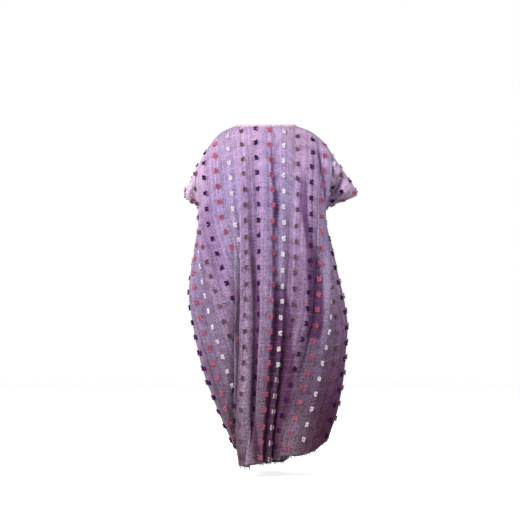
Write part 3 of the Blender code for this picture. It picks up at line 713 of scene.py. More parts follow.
def noise(place, scale, detail, **more):
    """Soft noise from 0 to 1 over a place. Three numbers as its scale stretch it."""
    if isinstance(scale, tuple):
        place = add(place.tree, "Mapping", {"Vector": place, "Scale": scale})
        scale = 1.0
    inputs = {"Vector": place, "Scale": scale, "Detail": detail, **more}
    return add(place.tree, "TexNoise", inputs)["Fac"]


# %% [markdown]
# ## The weave
#
# Gauze is an open plain weave: thin threads over and under each other with small gaps between
# them. An image of a weave would blur close up, and modelling every thread would take millions
# of faces. Two cosine waves over the flat cloth give each thread a round back, and where both
# waves are low there is a gap that light comes through. The pattern reads the cloth's own flat
# coordinates in metres, so it bends with the cloth, and hems and bindings use the same group.

# %% Build the weave group
SLUB_STRETCH = ((700, 9, 1), (9, 700, 1))  # thick and thin stretches along each set of threads


def make_weave():
    """Height, gaps and slubs of an open plain weave over flat coordinates in metres."""
    tree, given, out = new_tree(
        "open_weave", "Shader", {"Cloth": "Vector", "Thread spacing": 0.0012, "Slub": 0.3},
        {"Height": "Float", "Gap": "Float", "Thread": "Float"},
    )
    flat = add(tree, "SeparateXYZ", [given["Cloth"]])
    turns = add(tree, "Math", [2 * math.pi, given["Thread spacing"]], operation="DIVIDE")
    slubs = [noise(given["Cloth"], stretch, 1) * 2.0 - 1.0 for stretch in SLUB_STRETCH]
    waves = [
        ((flat[axis] * turns).math("COSINE") + slub * given["Slub"]) * 0.5 + 0.5
        for axis, slub in enumerate(slubs)
    ]
    over = waves[0].math("MAXIMUM", waves[1])
    gap = over.ramp(0.30, 0.12, kind="SMOOTHSTEP")
    fill(out, {"Height": over, "Gap": gap, "Thread": slubs[0] + slubs[1]})
    return tree


weave = make_weave()
print("weave group:", len(weave.nodes), "nodes")

# %% [markdown]
# ## The loom's stripes and the rows
#
# The warp was set up in wide zones: a bluish lavender round the red and white rows, and a
# pinker lilac round the purple and brown ones. Single warp threads differ too, so fine streaks
# run the whole length. A brocade thread lies along each row of tufts, and a heavier, lighter
# weft thread crosses at each level of tufts. The robe also gets painted shade towards the hem and
# painted light on the arms, the left one most, so the group says how far down and how far out on
# a sleeve each place is.

# %% Build the stripe group
ROW_PITCH = 0.06  # from one row of tufts to the next
CENTRE_ROW = -0.014  # the row nearest the middle of the cloth
LEVEL_PITCH = 0.064  # from one tuft to the next down a row
LEVEL_THREAD_AT = 0.040  # where the first level thread crosses
WARP_STREAKS = (((160, 0.8, 1), 2), ((620, 2.5, 1), 1), ((45, 0.6, 1), 1))  # stretch and detail
WEFT_STREAKS = ((4, 170, 1), 2)


def band_at(value, pitch, middle, half):
    """1 within half of each middle along a value that repeats at a pitch, with soft edges."""
    away = (value - middle).math("PINGPONG", pitch / 2)
    return away.ramp(half, half * 0.5, kind="SMOOTHSTEP")


def make_stripes():
    """How pink and streaked, how near a row or a tuft level, how far down it is, and how much painted
    light each sleeve gets towards its cuff.
    """
    labels = ("Pink", "Streak", "Row", "Level", "Down", "Painted sleeve light")
    tree, given, out = new_tree(
        "loom_stripes", "Shader", {"Cloth": "Vector"}, {label: "Float" for label in labels}
    )
    flat = add(tree, "SeparateXYZ", [given["Cloth"]])
    over, down = flat[0], flat[1]
    zone = (over - (HALF_WIDTH + CENTRE_ROW - ROW_PITCH / 2)) * (math.pi / (2 * ROW_PITCH))
    warp = [noise(given["Cloth"], *streak) - 0.5 for streak in WARP_STREAKS]
    weft = noise(given["Cloth"], *WEFT_STREAKS) - 0.5
    aside = over - HALF_WIDTH
    # painted light on the sleeves, full on the left one and a third of it on the right
    lit_arm_mask = aside.ramp(0.27, 0.46) + aside.ramp(-0.27, -0.46, 0.0, 0.3)
    fill(out, {
        "Pink": zone.math("COSINE").ramp(0.45, -0.45, kind="SMOOTHSTEP"),
        "Streak": weft * 0.8 + (warp[0] + warp[1] + warp[2]),
        "Row": band_at(over, ROW_PITCH, (HALF_WIDTH + CENTRE_ROW) % ROW_PITCH, 0.0010),
        "Level": band_at(down, LEVEL_PITCH, LEVEL_THREAD_AT, 0.0012),
        "Down": down.math("DIVIDE", CUT_LENGTH),
        "Painted sleeve light": lit_arm_mask * down.ramp(0.26, 0.36, 1.0, 0.0),
    })
    return tree


stripes = make_stripes()
print("stripe group:", len(stripes.nodes), "nodes")

# %% [markdown]
# ## The gauze
#
# The cloth's colour starts from its two zone colours, takes painted shade towards the hem and in
# its creases and painted light at the shoulders, on the arms and on its ridges, is streaked, and
# takes the row threads and tuft levels on top. The weave's gaps go to the shader's own Alpha, so
# that the far side is faintly there behind it. Cotton has no gloss, so roughness is high and
# varies with the threads, and a little sheen is its fuzz.

# %% Mix colours and start materials
CLOTH_UV = "cloth"
PAINTED_SHADE_AND_HIGHLIGHT = "painted_shade_and_highlight"  # the cloth's attribute for its painted shade in creases, and painted highlight on ridges below nothing


def mixed(tree, factor, first, second, blend="MIX"):
    pair = [c if isinstance(c, Value) else (*c, 1) for c in (first, second)]
    inputs = {0: factor, 6: pair[0], 7: pair[1]}
    return add(tree, "Mix", inputs, data_type="RGBA", blend_type=blend)[2]


def shaded(colour, light):
    """A colour times a value, which may go above 1."""
    grey = add(colour.tree, "CombineXYZ", [light] * 3)
    return mixed(colour.tree, 1.0, colour, grey, "MULTIPLY")


def bumped(height, strength, distance, normal=None):
    inputs = {"Strength": strength, "Distance": distance, "Height": height, "Normal": normal}
    return add(height.tree, "Bump", inputs)


def woven(tree, spacing, slub):
    """The cloth's flat places, and the weave over them."""
    flat = add(tree, "UVMap", uv_map=CLOTH_UV)
    inputs = {"Cloth": flat, "Thread spacing": spacing, "Slub": slub}
    return flat, add(tree, "Group", inputs, node_tree=weave)


def new_material(name, roughness, sheen, specular=0.25):
    """A matte cloth material with its own shader, and the tree that it lives in."""
    material = bpy.data.materials.new(name)
    material.use_nodes = True
    shader = fill(material.node_tree.nodes["Principled BSDF"], {
        "Roughness": roughness, "Sheen Weight": sheen, "Sheen Roughness": 0.5,
        "Specular IOR Level": specular,
    })
    return material, material.node_tree, shader


# %% Weave the gauze
BLUISH = (0.330, 0.247, 0.445)
PINKISH = (0.385, 0.247, 0.445)
# painted shade, darker towards the hem
PAINTED_LOW_SHADE = (0.128, 0.070, 0.094)
# painted light, lighter at the shoulders
PAINTED_TOP_LIGHT = (0.580, 0.375, 0.545)
# painted light on the sleeves
PAINTED_ARM_LIGHT = (0.850, 0.620, 0.800)
# painted highlight on ridges
PAINTED_RIDGE_HIGHLIGHT = (0.520, 0.380, 0.560)
PAINTED_CREASE_SHADE, PAINTED_LOW_CREASE_SHADE = (0.098, 0.016, 0.130), (0.070, 0.010, 0.042)  # painted shade in creases: at the top, at the hem
ROW_THREAD = (0.150, 0.085, 0.190)
LEVEL_THREAD = (0.600, 0.500, 0.640)
CRUMPLE_STRETCH = (95, 22, 1)


def cloth_colour(tree, flat, loom):
    """The cloth's colour: dyed zones with a fine mottle, then painted light and shade along the robe, in
    its creases and on its ridges.
    """
    mottle = noise(flat, 75.0, 3) * 3.0 - 1.5
    painted_shading = add(tree, "Attribute", attribute_name=PAINTED_SHADE_AND_HIGHLIGHT)["Fac"]
    colour = mixed(tree, add(tree, "Clamp", [mottle + loom["Pink"]]), BLUISH, PINKISH)
    for amount, tone in (
        # painted shade towards the hem, painted light at the shoulders and on the arms, painted highlight
        # on ridges, painted shade in creases
        (loom["Down"].ramp(0.20, 1.0, 0.0, 0.95), PAINTED_LOW_SHADE),
        (loom["Down"].ramp(0.22, 0.0, 0.0, 0.45), PAINTED_TOP_LIGHT),
        (loom["Painted sleeve light"] * 0.85, PAINTED_ARM_LIGHT),
        (add(tree, "Clamp", [painted_shading * -1.0]), PAINTED_RIDGE_HIGHLIGHT),
        (add(tree, "Clamp", [painted_shading]), mixed(tree, loom["Down"], PAINTED_CREASE_SHADE, PAINTED_LOW_CREASE_SHADE)),
    ):
        colour = mixed(tree, amount, colour, tone)
    return colour


def make_gauze():
    material, tree, shader = new_material("striped_gauze", 0.88, 0.15)
    flat, threads = woven(tree, 0.0012, 0.35)
    loom = add(tree, "Group", {"Cloth": flat}, node_tree=stripes)
    speckle = (noise(flat, 125.0, 3) - 0.5) * (loom["Down"] * 1.9 + 0.95)
    light = loom["Streak"] + 0.52 + noise(flat, 30.0, 5) * 0.95 + threads["Thread"] * 0.05 + speckle
    colour = shaded(cloth_colour(tree, flat, loom), light)
    colour = mixed(tree, loom["Row"] * 0.25, colour, ROW_THREAD)
    colour = mixed(tree, loom["Level"] * 0.12, colour, LEVEL_THREAD)
    crumple = bumped(noise(flat, CRUMPLE_STRETCH, 3), 1.0, 0.0045)
    fill(shader, {
        "Base Color": colour,
        "Roughness": threads["Thread"] * 0.05 + 0.88,
        "Alpha": (threads["Gap"] * -0.8 + 1.0) * 0.97,
        "Normal": bumped(loom["Row"] * 1.5 + threads["Height"], 0.5, 0.0004, crumple),
    })
    return material


gauze = make_gauze()
print("gauze:", len(gauze.node_tree.nodes), "nodes")

# %% [markdown]
# ## The two widths as closed sheets
#
# Each grid becomes a mesh with the flat coordinates as its UV map, and Solidify gives it the
# real half millimetre of a gauze. The frame's own walls are thicker, because they have to
# collide. Faces run the same way round on both widths, so the front's columns are turned about.

# %% Make a sheet from a grid
GAUZE_THICKNESS = 0.0006


def made_plain(piece):
    """Turn what a piece's modifiers show into its plain mesh."""
    graph = bpy.context.evaluated_depsgraph_get()
    shown = piece.evaluated_get(graph)
    plain = bpy.data.meshes.new_from_object(shown, preserve_all_data_layers=True, depsgraph=graph)
    plain.name = piece.name
    piece.modifiers.clear()
    piece.data = plain
    return piece


def new_piece(name, points, faces, material=None, edges=()):
    mesh = bpy.data.meshes.new(name)
    mesh.from_pydata(np.asarray(points).reshape(-1, 3).tolist(), list(edges), faces)
    if material:
        mesh.materials.append(material)
    piece = bpy.data.objects.new(name, mesh)
    bpy.context.scene.collection.objects.link(piece)
    return piece


def sheet_piece(name, points, flat, thickness, material, closed=False, painted_shade_and_highlight=None):
    """A sheet of cloth on a grid of points, with its flat places as UVs and its wall."""
    rows, columns = points.shape[:2]
    index = np.arange(rows * columns).reshape(rows, columns)
    nxt = np.roll(index, -1, axis=0) if closed else index[1:]
    here = index if closed else index[:-1]
    quads = np.stack([here[:, :-1], here[:, 1:], nxt[:, 1:], nxt[:, :-1]], axis=-1).reshape(-1, 4)
    piece = new_piece(name, points, quads.tolist(), material)
    uv = piece.data.uv_layers.new(name=CLOTH_UV)
    uv.data.foreach_set("uv", flat.reshape(-1, 2)[quads.ravel()].astype(np.float32).ravel())
    # the painted shade and highlight of the creases, kept for the gauze's colour
    if painted_shade_and_highlight is not None:
        layer = piece.data.attributes.new(PAINTED_SHADE_AND_HIGHLIGHT, "FLOAT", "POINT")
        layer.data.foreach_set("value", painted_shade_and_highlight.astype(np.float32).ravel())
    wall = piece.modifiers.new("wall", "SOLIDIFY")
    wall.thickness, wall.offset = thickness, 0.0
    made_plain(piece)
    piece.data.shade_smooth()
    return piece


# %% Make the back and the front
sheets = {}
for side, panel in cloth.items():
    turn = -1 if side == "front" else 1
    # shade carries the painted shade and highlight of the creases
    points, flat, shade = (panel[what][:, ::turn] for what in ("points", "flat", "shade"))
    name = f"{side}_width"
    sheets[side] = sheet_piece(name, points, flat, GAUZE_THICKNESS, gauze, painted_shade_and_highlight=shade)
    print(f"{side} width:", len(sheets[side].data.polygons), "faces")

# %% [markdown]
# ## Finding places on the cloth
#
# Tufts, hems and stitches are placed on the flat cloth, where a weaver and a tailor would place
# them, and then carried to the draped one by one lookup. A ray from each place also tells how
# much room there is before the next layer of cloth, because a tuft deep in a fold is pressed flat.

# %% Look up a place on the draped cloth
CLEAR_OF_CLOTH = 0.002  # a ray starts this far above its own cloth


def on_cloth(side, places, shares, what="points"):
    """The draped point, or another value, at flat places across and shares down."""
    grid = cloth[side][what]
    column = (np.asarray(places) + HALF_WIDTH) / (2 * HALF_WIDTH) * (PLACES - 1)
    line = np.asarray(shares) * (LINES - 1)
    j = np.clip(column.astype(int), 0, PLACES - 2)
    i = np.clip(line.astype(int), 0, LINES - 2)
    right, below = (column - j)[:, None], (line - i)[:, None]
    top = grid[i, j] * (1 - right) + grid[i, j + 1] * right
    low = grid[i + 1, j] * (1 - right) + grid[i + 1, j + 1] * right
    return top * (1 - below) + low * below


def run_length(points):
    """How far along a line each of its points lies."""
    return np.concatenate([[0], np.cumsum(np.linalg.norm(np.diff(points, axis=0), axis=1))])


walls = [BVHTree.FromObject(s, bpy.context.evaluated_depsgraph_get()) for s in sheets.values()]


def room_above(points, outs, most):
    """How far each point can see along its way out before it meets cloth, up to a limit."""
    rooms = []
    for point, out in zip(points, outs):
        start = Vector(point) + Vector(out) * CLEAR_OF_CLOTH
        hits = [tree.ray_cast(start, Vector(out), most) for tree in walls]
        rooms.append(min([hit[3] for hit in hits if hit[3] is not None] + [most]))
    return np.array(rooms)


print("the middle of the back is at", np.round(on_cloth("back", [0.0], [0.5])[0], 3).tolist())

# %% [markdown]
# ## Rows of cut yarn
#
# The robe's ornament is its tufts: short lengths of thick soft yarn, laid in under a few warp
# threads and cut, so that their ends stand up on either side. Two bundles lie one under the
# other in each tuft and often merge. The rows take four colours in turn. Along a row the tufts
# come every 64 mm of cloth, and each row starts from a level of its own, since the weaver moved
# on by eye.

# %% Lay out the tufts
ROW_COLOURS = ("red", "purple", "brown", "white")
ROWS = range(-8, 10)
FIRST_LEVEL = -0.46  # the height on the back that a row's tufts are counted from
ROW_LEVELS = {
    # row: the height of one of its tufts on the back
    -7: -1.022, -6: -0.789, -5: -0.535, -4: -0.569, -3: -0.496, -2: -0.480, -1: -0.469,
    0: -0.463, 1: -0.456, 2: -0.460, 3: -0.475, 4: -0.503, 5: -0.468, 6: -0.503,
    7: -0.642, 8: -0.729,
}
EDGE_ROOM = 0.010  # from the last tuft of a row to the edge of the cloth
TUFT_ROOM = 0.012  # the room above the cloth that a whole tuft takes
DOWN_BY_EYE, ACROSS_BY_EYE = 0.002, 0.0015  # how far off a tuft may be woven in
STEPS_DOWN = 900  # to measure along a row


def row_places(side, row, random):
    """The shares down the cloth where a row has its tufts."""
    shares = np.linspace(0, 1, STEPS_DOWN)
    points = on_cloth(side, np.full(STEPS_DOWN, CENTRE_ROW + ROW_PITCH * row), shares)
    run = run_length(points)
    level = ROW_LEVELS.get(row, FIRST_LEVEL) if side == "back" else FIRST_LEVEL
    start = np.interp(-level, -points[:, 2], run) % LEVEL_PITCH
    at = np.arange(start, run[-1], LEVEL_PITCH)
    at = at[(at > EDGE_ROOM) & (at < run[-1] - EDGE_ROOM)]
    return np.interp(at + random.uniform(-DOWN_BY_EYE, DOWN_BY_EYE, len(at)), run, shares)


def tuft_layout(side, colour):
    """Where the tufts of one colour stand: places across and shares down."""
    places, shares = [], []
    for row in (row for row in ROWS if ROW_COLOURS[row % 4] == colour):
        random = np.random.default_rng([5, row + 50, side == "back"])
        down = row_places(side, row, random)
        off = random.uniform(-ACROSS_BY_EYE, ACROSS_BY_EYE, len(down))
        places += list(CENTRE_ROW + ROW_PITCH * row + off)
        shares += list(down)
    return np.array(places), np.array(shares)


print(len(tuft_layout("back", "red")[0]), "red tufts on the back")

# %% [markdown]
# A tuft's tree starts from one point for each tuft, which carries the way out of the cloth and
# the way down it. Each point is doubled into eight thin yarns, which are stacked in two bundles,
# tilted and splayed at random, and set as a bent length of yarn whose two ends stand up. Loose
# fibres stand out all round. Modelling each tuft by hand would take weeks, and a particle system
# couldn't turn them with the rows.

# %% Steps that the trees share


def named(tree, name, data_type="FLOAT_VECTOR"):
    return add(tree, "InputNamedAttribute", [name], data_type=data_type)


def random_in(tree, least, most, seed, which=None):
    return add(tree, "RandomValue", {2: least, 3: most, 7: which, 8: seed})[1]


def shade_kept(tree, points, shade):
    """Leave a shade on the points, for the yarn's material."""
    inputs = [points, None, "shade", shade]
    return add(tree, "StoreNamedAttribute", inputs, data_type="FLOAT", domain="POINT")


def turned_about(tree, way, axis, angle):
    inputs = {"Vector": way, "Axis": axis, "Angle": angle}
    return add(tree, "VectorRotate", inputs, rotation_type="AXIS_ANGLE")


def facing(tree, up, along, along_axis="X"):
    """The turn that points Z up and another axis along."""
    return add(tree, "AxesToRotation", [up, along], primary_axis="Z", secondary_axis=along_axis)


def bent_yarn(tree, steps, ends, sides, radius, thick=None):
    """A closed tube along a bend through three points."""
    bend = add(tree, "CurveQuadraticBezier", [steps, *ends])
    rim = add(tree, "CurvePrimitiveCircle", {"Resolution": sides, "Radius": radius})
    return add(tree, "CurveToMesh", [bend, rim, thick, True])


def set_out(tree, points, shape, turn, size):
    inputs = {"Points": points, "Instance": shape, "Rotation": turn, "Scale": size}
    return add(tree, "InstanceOnPoints", inputs)


def finish_tree(tree, out, shapes, material):
    """Make instances real and smooth, and give them their material."""
    smooth = add(tree, "SetShadeSmooth", [add(tree, "RealizeInstances", [shapes])])
    fill(out, [add(tree, "SetMaterial", {"Geometry": smooth, "Material": material})])


# %% Build the tuft tree
YARNS = 8  # in a tuft, half of them in each bundle
YARN_APART = 0.82  # from one yarn of a bundle to the next, as a share of a yarn's width
MIDDLE_SUNK = 1.4  # how far a yarn's middle bends down, as a share of how far its ends stand up
FIBRES = 16
FIBRE_HALF = 0.032  # half the width of a loose fibre, as a share of its reach
FIBRE_BEND = ((0.30, 0, 0.15), (0.7, 0, 0.45), (1.0, 0, 0.30))


def loose_fibres(tree, given, points, up, down):
    """Fine fibres that stand out all round each tuft's middle, lying low over the cloth."""
    many = add(tree, "DuplicateElements", [points, None, FIBRES], domain="POINT")
    aside = turned_about(tree, down, up, random_in(tree, 0.0, 2 * math.pi, 41))
    kept = shade_kept(tree, many, random_in(tree, 0.4, 1.0, 31, named(tree, "tuft", "INT")))
    fibre = bent_yarn(tree, 2, FIBRE_BEND, 3, FIBRE_HALF)
    reach = random_in(tree, 0.65, 1.15, 43) * given["Fibre reach"]
    size = add(tree, "CombineXYZ", [reach, reach, reach * named(tree, "room", "FLOAT")])
    return set_out(tree, kept, fibre, facing(tree, up, aside), size)


def make_tuft_tree():
    tree, given, out = new_tree(
        "yarn_tufts", "Geometry",
        {
            "Places": "Geometry", "Yarn length": 0.018, "Yarn width": 0.0034, "Stands up": 0.005,
            "Between bundles": 0.0100, "Most tilt": 0.35, "Splay": 0.3, "Fibre reach": 0.012,
            "Seed": 1, "Yarn": "Material",
        },
        {"Tufts": "Geometry"},
    )
    width, stands = given["Yarn width"], given["Stands up"]
    up, down, tuft = named(tree, "out"), named(tree, "down"), named(tree, "tuft", "INT")
    points = add(tree, "MeshToPoints", [given["Places"]])
    yarns = add(tree, "DuplicateElements", [points, None, YARNS], domain="POINT")
    count = yarns["Duplicate Index"]
    bundle = count.math("GREATER_THAN", YARNS / 2 - 0.5)
    in_bundle = bundle * (-YARNS / 2) + count - (YARNS / 4 - 0.5)
    tilt = random_in(tree, -1.0, 1.0, given["Seed"], tuft * 2.0 + bundle) * given["Most tilt"]
    tilt = random_in(tree, -1.0, 1.0, given["Seed"]) * given["Splay"] + tilt
    turned = turned_about(tree, down, up, tilt)
    flip = random_in(tree, -1.0, 1.0, 77, tuft).math("SIGN")
    apart = (bundle - 0.5) * given["Between bundles"] * flip
    moves = [
        add(tree, "VectorMath", {0: way, "Scale": length}, operation="SCALE")
        for way, length in ((down, apart), (turned, in_bundle * width * YARN_APART))
    ]
    move = add(tree, "VectorMath", moves, operation="ADD")
    moved = add(tree, "SetPosition", {"Geometry": yarns, "Offset": move})
    kept = shade_kept(tree, moved, random_in(tree, 0.0, 1.0, 31, tuft))
    half = given["Yarn length"] * 0.5
    bend = [
        add(tree, "CombineXYZ", [x, 0.0, z])
        for x, z in ((half * -1.0, stands), (0.0, stands * -MIDDLE_SUNK), (half, stands))
    ]
    from_middle = (add(tree, "SplineParameter")["Factor"] * 2.0 - 1.0).math("ABSOLUTE")
    yarn = bent_yarn(tree, 3, bend, 4, width * 0.5, from_middle * 0.45 + 0.75)
    size = [random_in(tree, 0.82, 1.15, 5), 1.0, named(tree, "room", "FLOAT")]
    turn = facing(tree, up, turned, "Y")
    placed = set_out(tree, kept, yarn, turn, add(tree, "CombineXYZ", size))
    both = add(tree, "JoinGeometry", [loose_fibres(tree, given, points, up, down)])
    fill(both.socket.node, [placed])
    finish_tree(tree, out, both, given["Yarn"])
    return tree


tuft_tree = make_tuft_tree()
print("tuft tree:", len(tuft_tree.nodes), "nodes")

# %% [markdown]
# ## Yarn
#
# The tufts are soft rug yarn: fine fibres in a loose twist, a little darker where they lie deep.
# Every tuft is a shade lighter or darker than the next, from the attribute that the tree left on
# it. The fibres are a noise on the object's own coordinates, in a group that the stitches and
# the fringe use as well.

# %% Build the fibre group and the yarns


def make_fibres():
    tree, given, out = new_tree(
        "yarn_fibres", "Shader", {"Fineness": 900.0}, {"Height": "Float", "Light": "Float"}
    )
    place = add(tree, "TexCoord")["Object"]
    fine = noise(place, given["Fineness"], 3, Distortion=0.6)
    fill(out, {"Height": fine, "Light": (fine + noise(place, 140, 1)) * 0.8 + 0.2})
    return tree


fibres = make_fibres()
print("fibre group:", len(fibres.nodes), "nodes")


def make_yarn(name, dark, light, sheen=0.5, fineness=900.0):
    """A fuzzy yarn between two colours, lighter or darker from tuft to tuft."""
    material, tree, shader = new_material(name, 0.95, sheen, 0.15)
    fuzz = add(tree, "Group", {"Fineness": fineness}, node_tree=fibres)
    colour = mixed(tree, add(tree, "Attribute", attribute_name="shade")["Fac"], dark, light)
    fill(shader, {
        "Base Color": shaded(colour, fuzz["Light"]), "Normal": bumped(fuzz["Height"], 0.7, 0.0005),
    })
    return material


YARN_SIZES = ("Yarn length", "Yarn width", "Between bundles", "Most tilt", "Splay", "Fibre reach")
YARNS_USED = {
    # darkest, lightest, sheen, then the tree's sizes in the order above
    "red": (
        (0.41, 0.042, 0.108), (0.59, 0.105, 0.215), 0.5,
        (0.0165, 0.0026, 0.0092, 0.30, 0.50, 0.0150),
    ),
    "purple": (
        (0.026, 0.002, 0.044), (0.085, 0.006, 0.135), 0.05,
        (0.0150, 0.0025, 0.0098, 0.55, 0.12, 0.0085),
    ),
    "brown": (
        (0.090, 0.042, 0.055), (0.245, 0.130, 0.150), 0.1,
        (0.0140, 0.0024, 0.0095, 0.45, 0.25, 0.0090),
    ),
    "white": (
        (0.82, 0.700, 0.780), (0.96, 0.890, 0.940), 0.4,
        (0.0118, 0.0026, 0.0098, 0.55, 0.35, 0.0090),
    ),
}

# %% Run a tree over a carrier


def run_tree(tree, carrier, settings):
    """Give a carrier mesh a node tree with its settings, and keep the plain result."""
    modifier = carrier.modifiers.new(tree.name, "NODES")
    modifier.node_group = tree
    for item in tree.interface.items_tree:
        if item.in_out == "INPUT" and item.name in settings:
            modifier[item.identifier] = settings[item.name]
    return made_plain(carrier)


def carrier_of(name, points, edges=(), **attributes):
    """A mesh of bare points, or of lines, that carries what a tree needs to know."""
    carrier = new_piece(name, points, [], edges=edges)
    for label, values in attributes.items():
        vector, whole = values.ndim == 2, values.dtype.kind == "i"
        kind = "FLOAT_VECTOR" if vector else "INT" if whole else "FLOAT"
        layer = carrier.data.attributes.new(label, kind, "POINT")
        values = values.astype(np.int32 if whole else np.float32).ravel()
        layer.data.foreach_set("vector" if vector else "value", values)
    return carrier


# %% Sow the tufts over both widths
ROOT_LIFT = 0.30  # how far above the cloth a tuft's yarns start, as a share of a yarn's width
LEAST_ROOM = 0.12  # a tuft pressed in a fold keeps this share of its height
A_STEP_DOWN = 0.004  # a share of the cloth, to find the way down it


def sow_tufts(side, colour, number):
    sizes = dict(zip(YARN_SIZES, YARNS_USED[colour][3]))
    places, shares = tuft_layout(side, colour)
    points, out = on_cloth(side, places, shares), unit(on_cloth(side, places, shares, "out"))
    below = on_cloth(side, places, np.minimum(shares + A_STEP_DOWN, 1)) - points
    down = unit(below - out * np.sum(below * out, axis=1, keepdims=True))
    room = np.clip(room_above(points, out, TUFT_ROOM) / TUFT_ROOM, LEAST_ROOM, 1.0)
    lifted = points + out * (GAUZE_THICKNESS / 2 + sizes["Yarn width"] * ROOT_LIFT)
    carrier = carrier_of(
        f"{side}_{colour}_tufts", lifted, out=out, down=down, room=room,
        tuft=np.arange(len(points)),
    )
    return run_tree(tuft_tree, carrier, {**sizes, "Seed": number, "Yarn": yarns[colour]})


yarns = {colour: make_yarn(f"{colour}_yarn", *look[:3]) for colour, look in YARNS_USED.items()}
tufts = {side: [] for side in SIDES}
for number, (side, colour) in enumerate((s, c) for s in tufts for c in ROW_COLOURS):
    piece = sow_tufts(side, colour, number)
    tufts[side].append(piece)
    print(f"{piece.name}: {len(piece.data.polygons)} faces")

# %% [markdown]
# ## Turned hems and seams
#
# Every raw edge of the robe is finished. The cuffs have a turned hem 12 mm wide, the bottom has
# a narrow rolled one, and flat felled seams run along the shoulders and down the sides. Each is
# a strip that lies on both faces of the cloth along an edge, so it is lofted between two lines
# of flat places: the edge itself, and a line a little way in. Where an arm opening ends, the
# inner line turns the corner below it, as a mitred hem does.

# %% Loft a strip between two flat lines


def strip_points(stations, columns):
    """Points over the cloth between an outer and an inner flat place, and the ways out there."""
    t = np.linspace(0, 1, columns)
    rows = []
    for side, (place, share), (inner_place, inner_share) in stations:
        rows.append((side, place + (inner_place - place) * t, share + (inner_share - share) * t))
    return [np.array([on_cloth(*row, what) for row in rows]) for what in ("points", "out")]


def strip_piece(name, points, thickness, material, closed=False):
    """A strip of cloth with a wall, and UVs in metres along and across it."""
    flat = np.stack(np.meshgrid(run_length(points[0]), run_length(points[:, 0])), axis=2)
    return sheet_piece(name, points, flat, thickness, material, closed)


CUFF_HEM, HEM_ROLL, SEAM_HALF = 0.012, 0.007, 0.0035  # how wide they lie on the cloth
CORNER_SHORT = 0.6  # a cuff's straight edges stop this share of its hem before the corner


def cuff_stations(hand, depth=CUFF_HEM):
    """Stations round an arm opening: down the back edge, then up the front one."""
    edge, inside = hand * HALF_WIDTH, hand * (HALF_WIDTH - depth)
    shares = np.linspace(0, ARM_SHARE - CORNER_SHORT * depth / CUT_LENGTH, 40)
    corner = ("back", (edge, ARM_SHARE), (edge, ARM_SHARE + depth / CUT_LENGTH))
    back = [("back", (edge, s), (inside, s)) for s in shares]
    front = [("front", (edge, s), (inside, s)) for s in shares[:0:-1]]
    return back + [corner] + front


def hem_stations(depth=HEM_ROLL):
    """Stations round the bottom edge: over the back, then over the front."""
    places, up = np.linspace(-HALF_WIDTH, HALF_WIDTH, 150), 1 - depth / CUT_LENGTH
    ways = (("back", places), ("front", places[-2:0:-1]))
    return [(side, (a, 1.0), (a, up)) for side, at in ways for a in at]


def seam_points(places, shares):
    """A grid over a seam, from a little way into the back to a little way into the front."""
    rows = []
    for place, share in zip(places, shares):
        aside, lower = (0, SEAM_HALF / CUT_LENGTH) if share == 0 else (SEAM_HALF, 0)
        inside = place - math.copysign(aside, place), share + lower
        row = (("back", *inside), ("back", place, share), ("front", *inside))
        rows.append([on_cloth(side, [a], [s])[0] for side, a, s in row])
    return np.array(rows)


print("stations:", len(cuff_stations(1)), "round a cuff,", len(hem_stations()), "round the hem")

# %% Cloth for the hems


def make_trim(name, dark, light, spacing=0.0010):
    """A doubled, closer cloth for hems and bindings, rubbed lighter in patches."""
    material, tree, shader = new_material(name, 0.9, 0.15)
    _, threads = woven(tree, spacing, 0.25)
    rubbed = noise(add(tree, "TexCoord")["Object"], 60, 4).ramp(0.38, 0.62)
    fill(shader, {
        "Base Color": shaded(mixed(tree, rubbed, dark, light), threads["Height"] * 0.35 + 0.75),
        "Normal": bumped(threads["Height"], 0.6, 0.0004),
    })
    return material


cuff_cloth = make_trim("cuff_hem_cloth", (0.50, 0.37, 0.50), (0.66, 0.50, 0.60))
hem_cloth = make_trim("bottom_hem_cloth", (0.050, 0.026, 0.050), (0.150, 0.095, 0.135))
seam_cloth = make_trim("seam_cloth", (0.26, 0.19, 0.31), (0.34, 0.25, 0.38))
print("trim cloths:", ", ".join(made.name for made in (cuff_cloth, hem_cloth, seam_cloth)))

# %% Sew on the cuffs' hems, the bottom hem and the seams
trims = []
for name, stations, columns, thickness, material in (
    ("left_cuff_hem", cuff_stations(1), 5, 0.0022, cuff_cloth),
    ("right_cuff_hem", cuff_stations(-1), 5, 0.0022, cuff_cloth),
    ("bottom_hem", hem_stations(), 4, 0.0028, hem_cloth),
):
    points, _ = strip_points(stations, columns)
    trims.append(strip_piece(name, points, thickness, material, closed=True))
for name, hand in (("left", 1), ("right", -1)):
    down = seam_points(np.full(150, hand * HALF_WIDTH), np.linspace(ARM_SHARE, 1.0, 150))
    over = seam_points(hand * np.linspace(NECK_FLAT, HALF_WIDTH, 60), np.zeros(60))
    trims.append(strip_piece(f"{name}_side_seam", down, 0.0020, seam_cloth))
    trims.append(strip_piece(f"{name}_shoulder_seam", over, 0.0020, seam_cloth))
print("sewn:", ", ".join(piece.name for piece in trims))

# %% [markdown]
# ## The neck binding
#
# The neck is finished with a folded strip 10 mm wide that carries the edge on into the opening.
# It is a closed ring with a soft rounded section, fuller at its fold. A curve with a bevel would
# twist round the corners of the neck. Sections that are turned by the cloth's own way out don't.

# %% Bind the neck
BINDING_SECTION = (
    # beyond the edge, out of the cloth
    (-0.0040, 0.0011), (-0.0015, 0.0013), (0.0010, 0.0014), (0.0035, 0.0015), (0.0054, 0.0010),
    (0.0060, 0.0000), (0.0054, -0.0010), (0.0035, -0.0015), (0.0010, -0.0014),
    (-0.0015, -0.0013), (-0.0040, -0.0011),
)


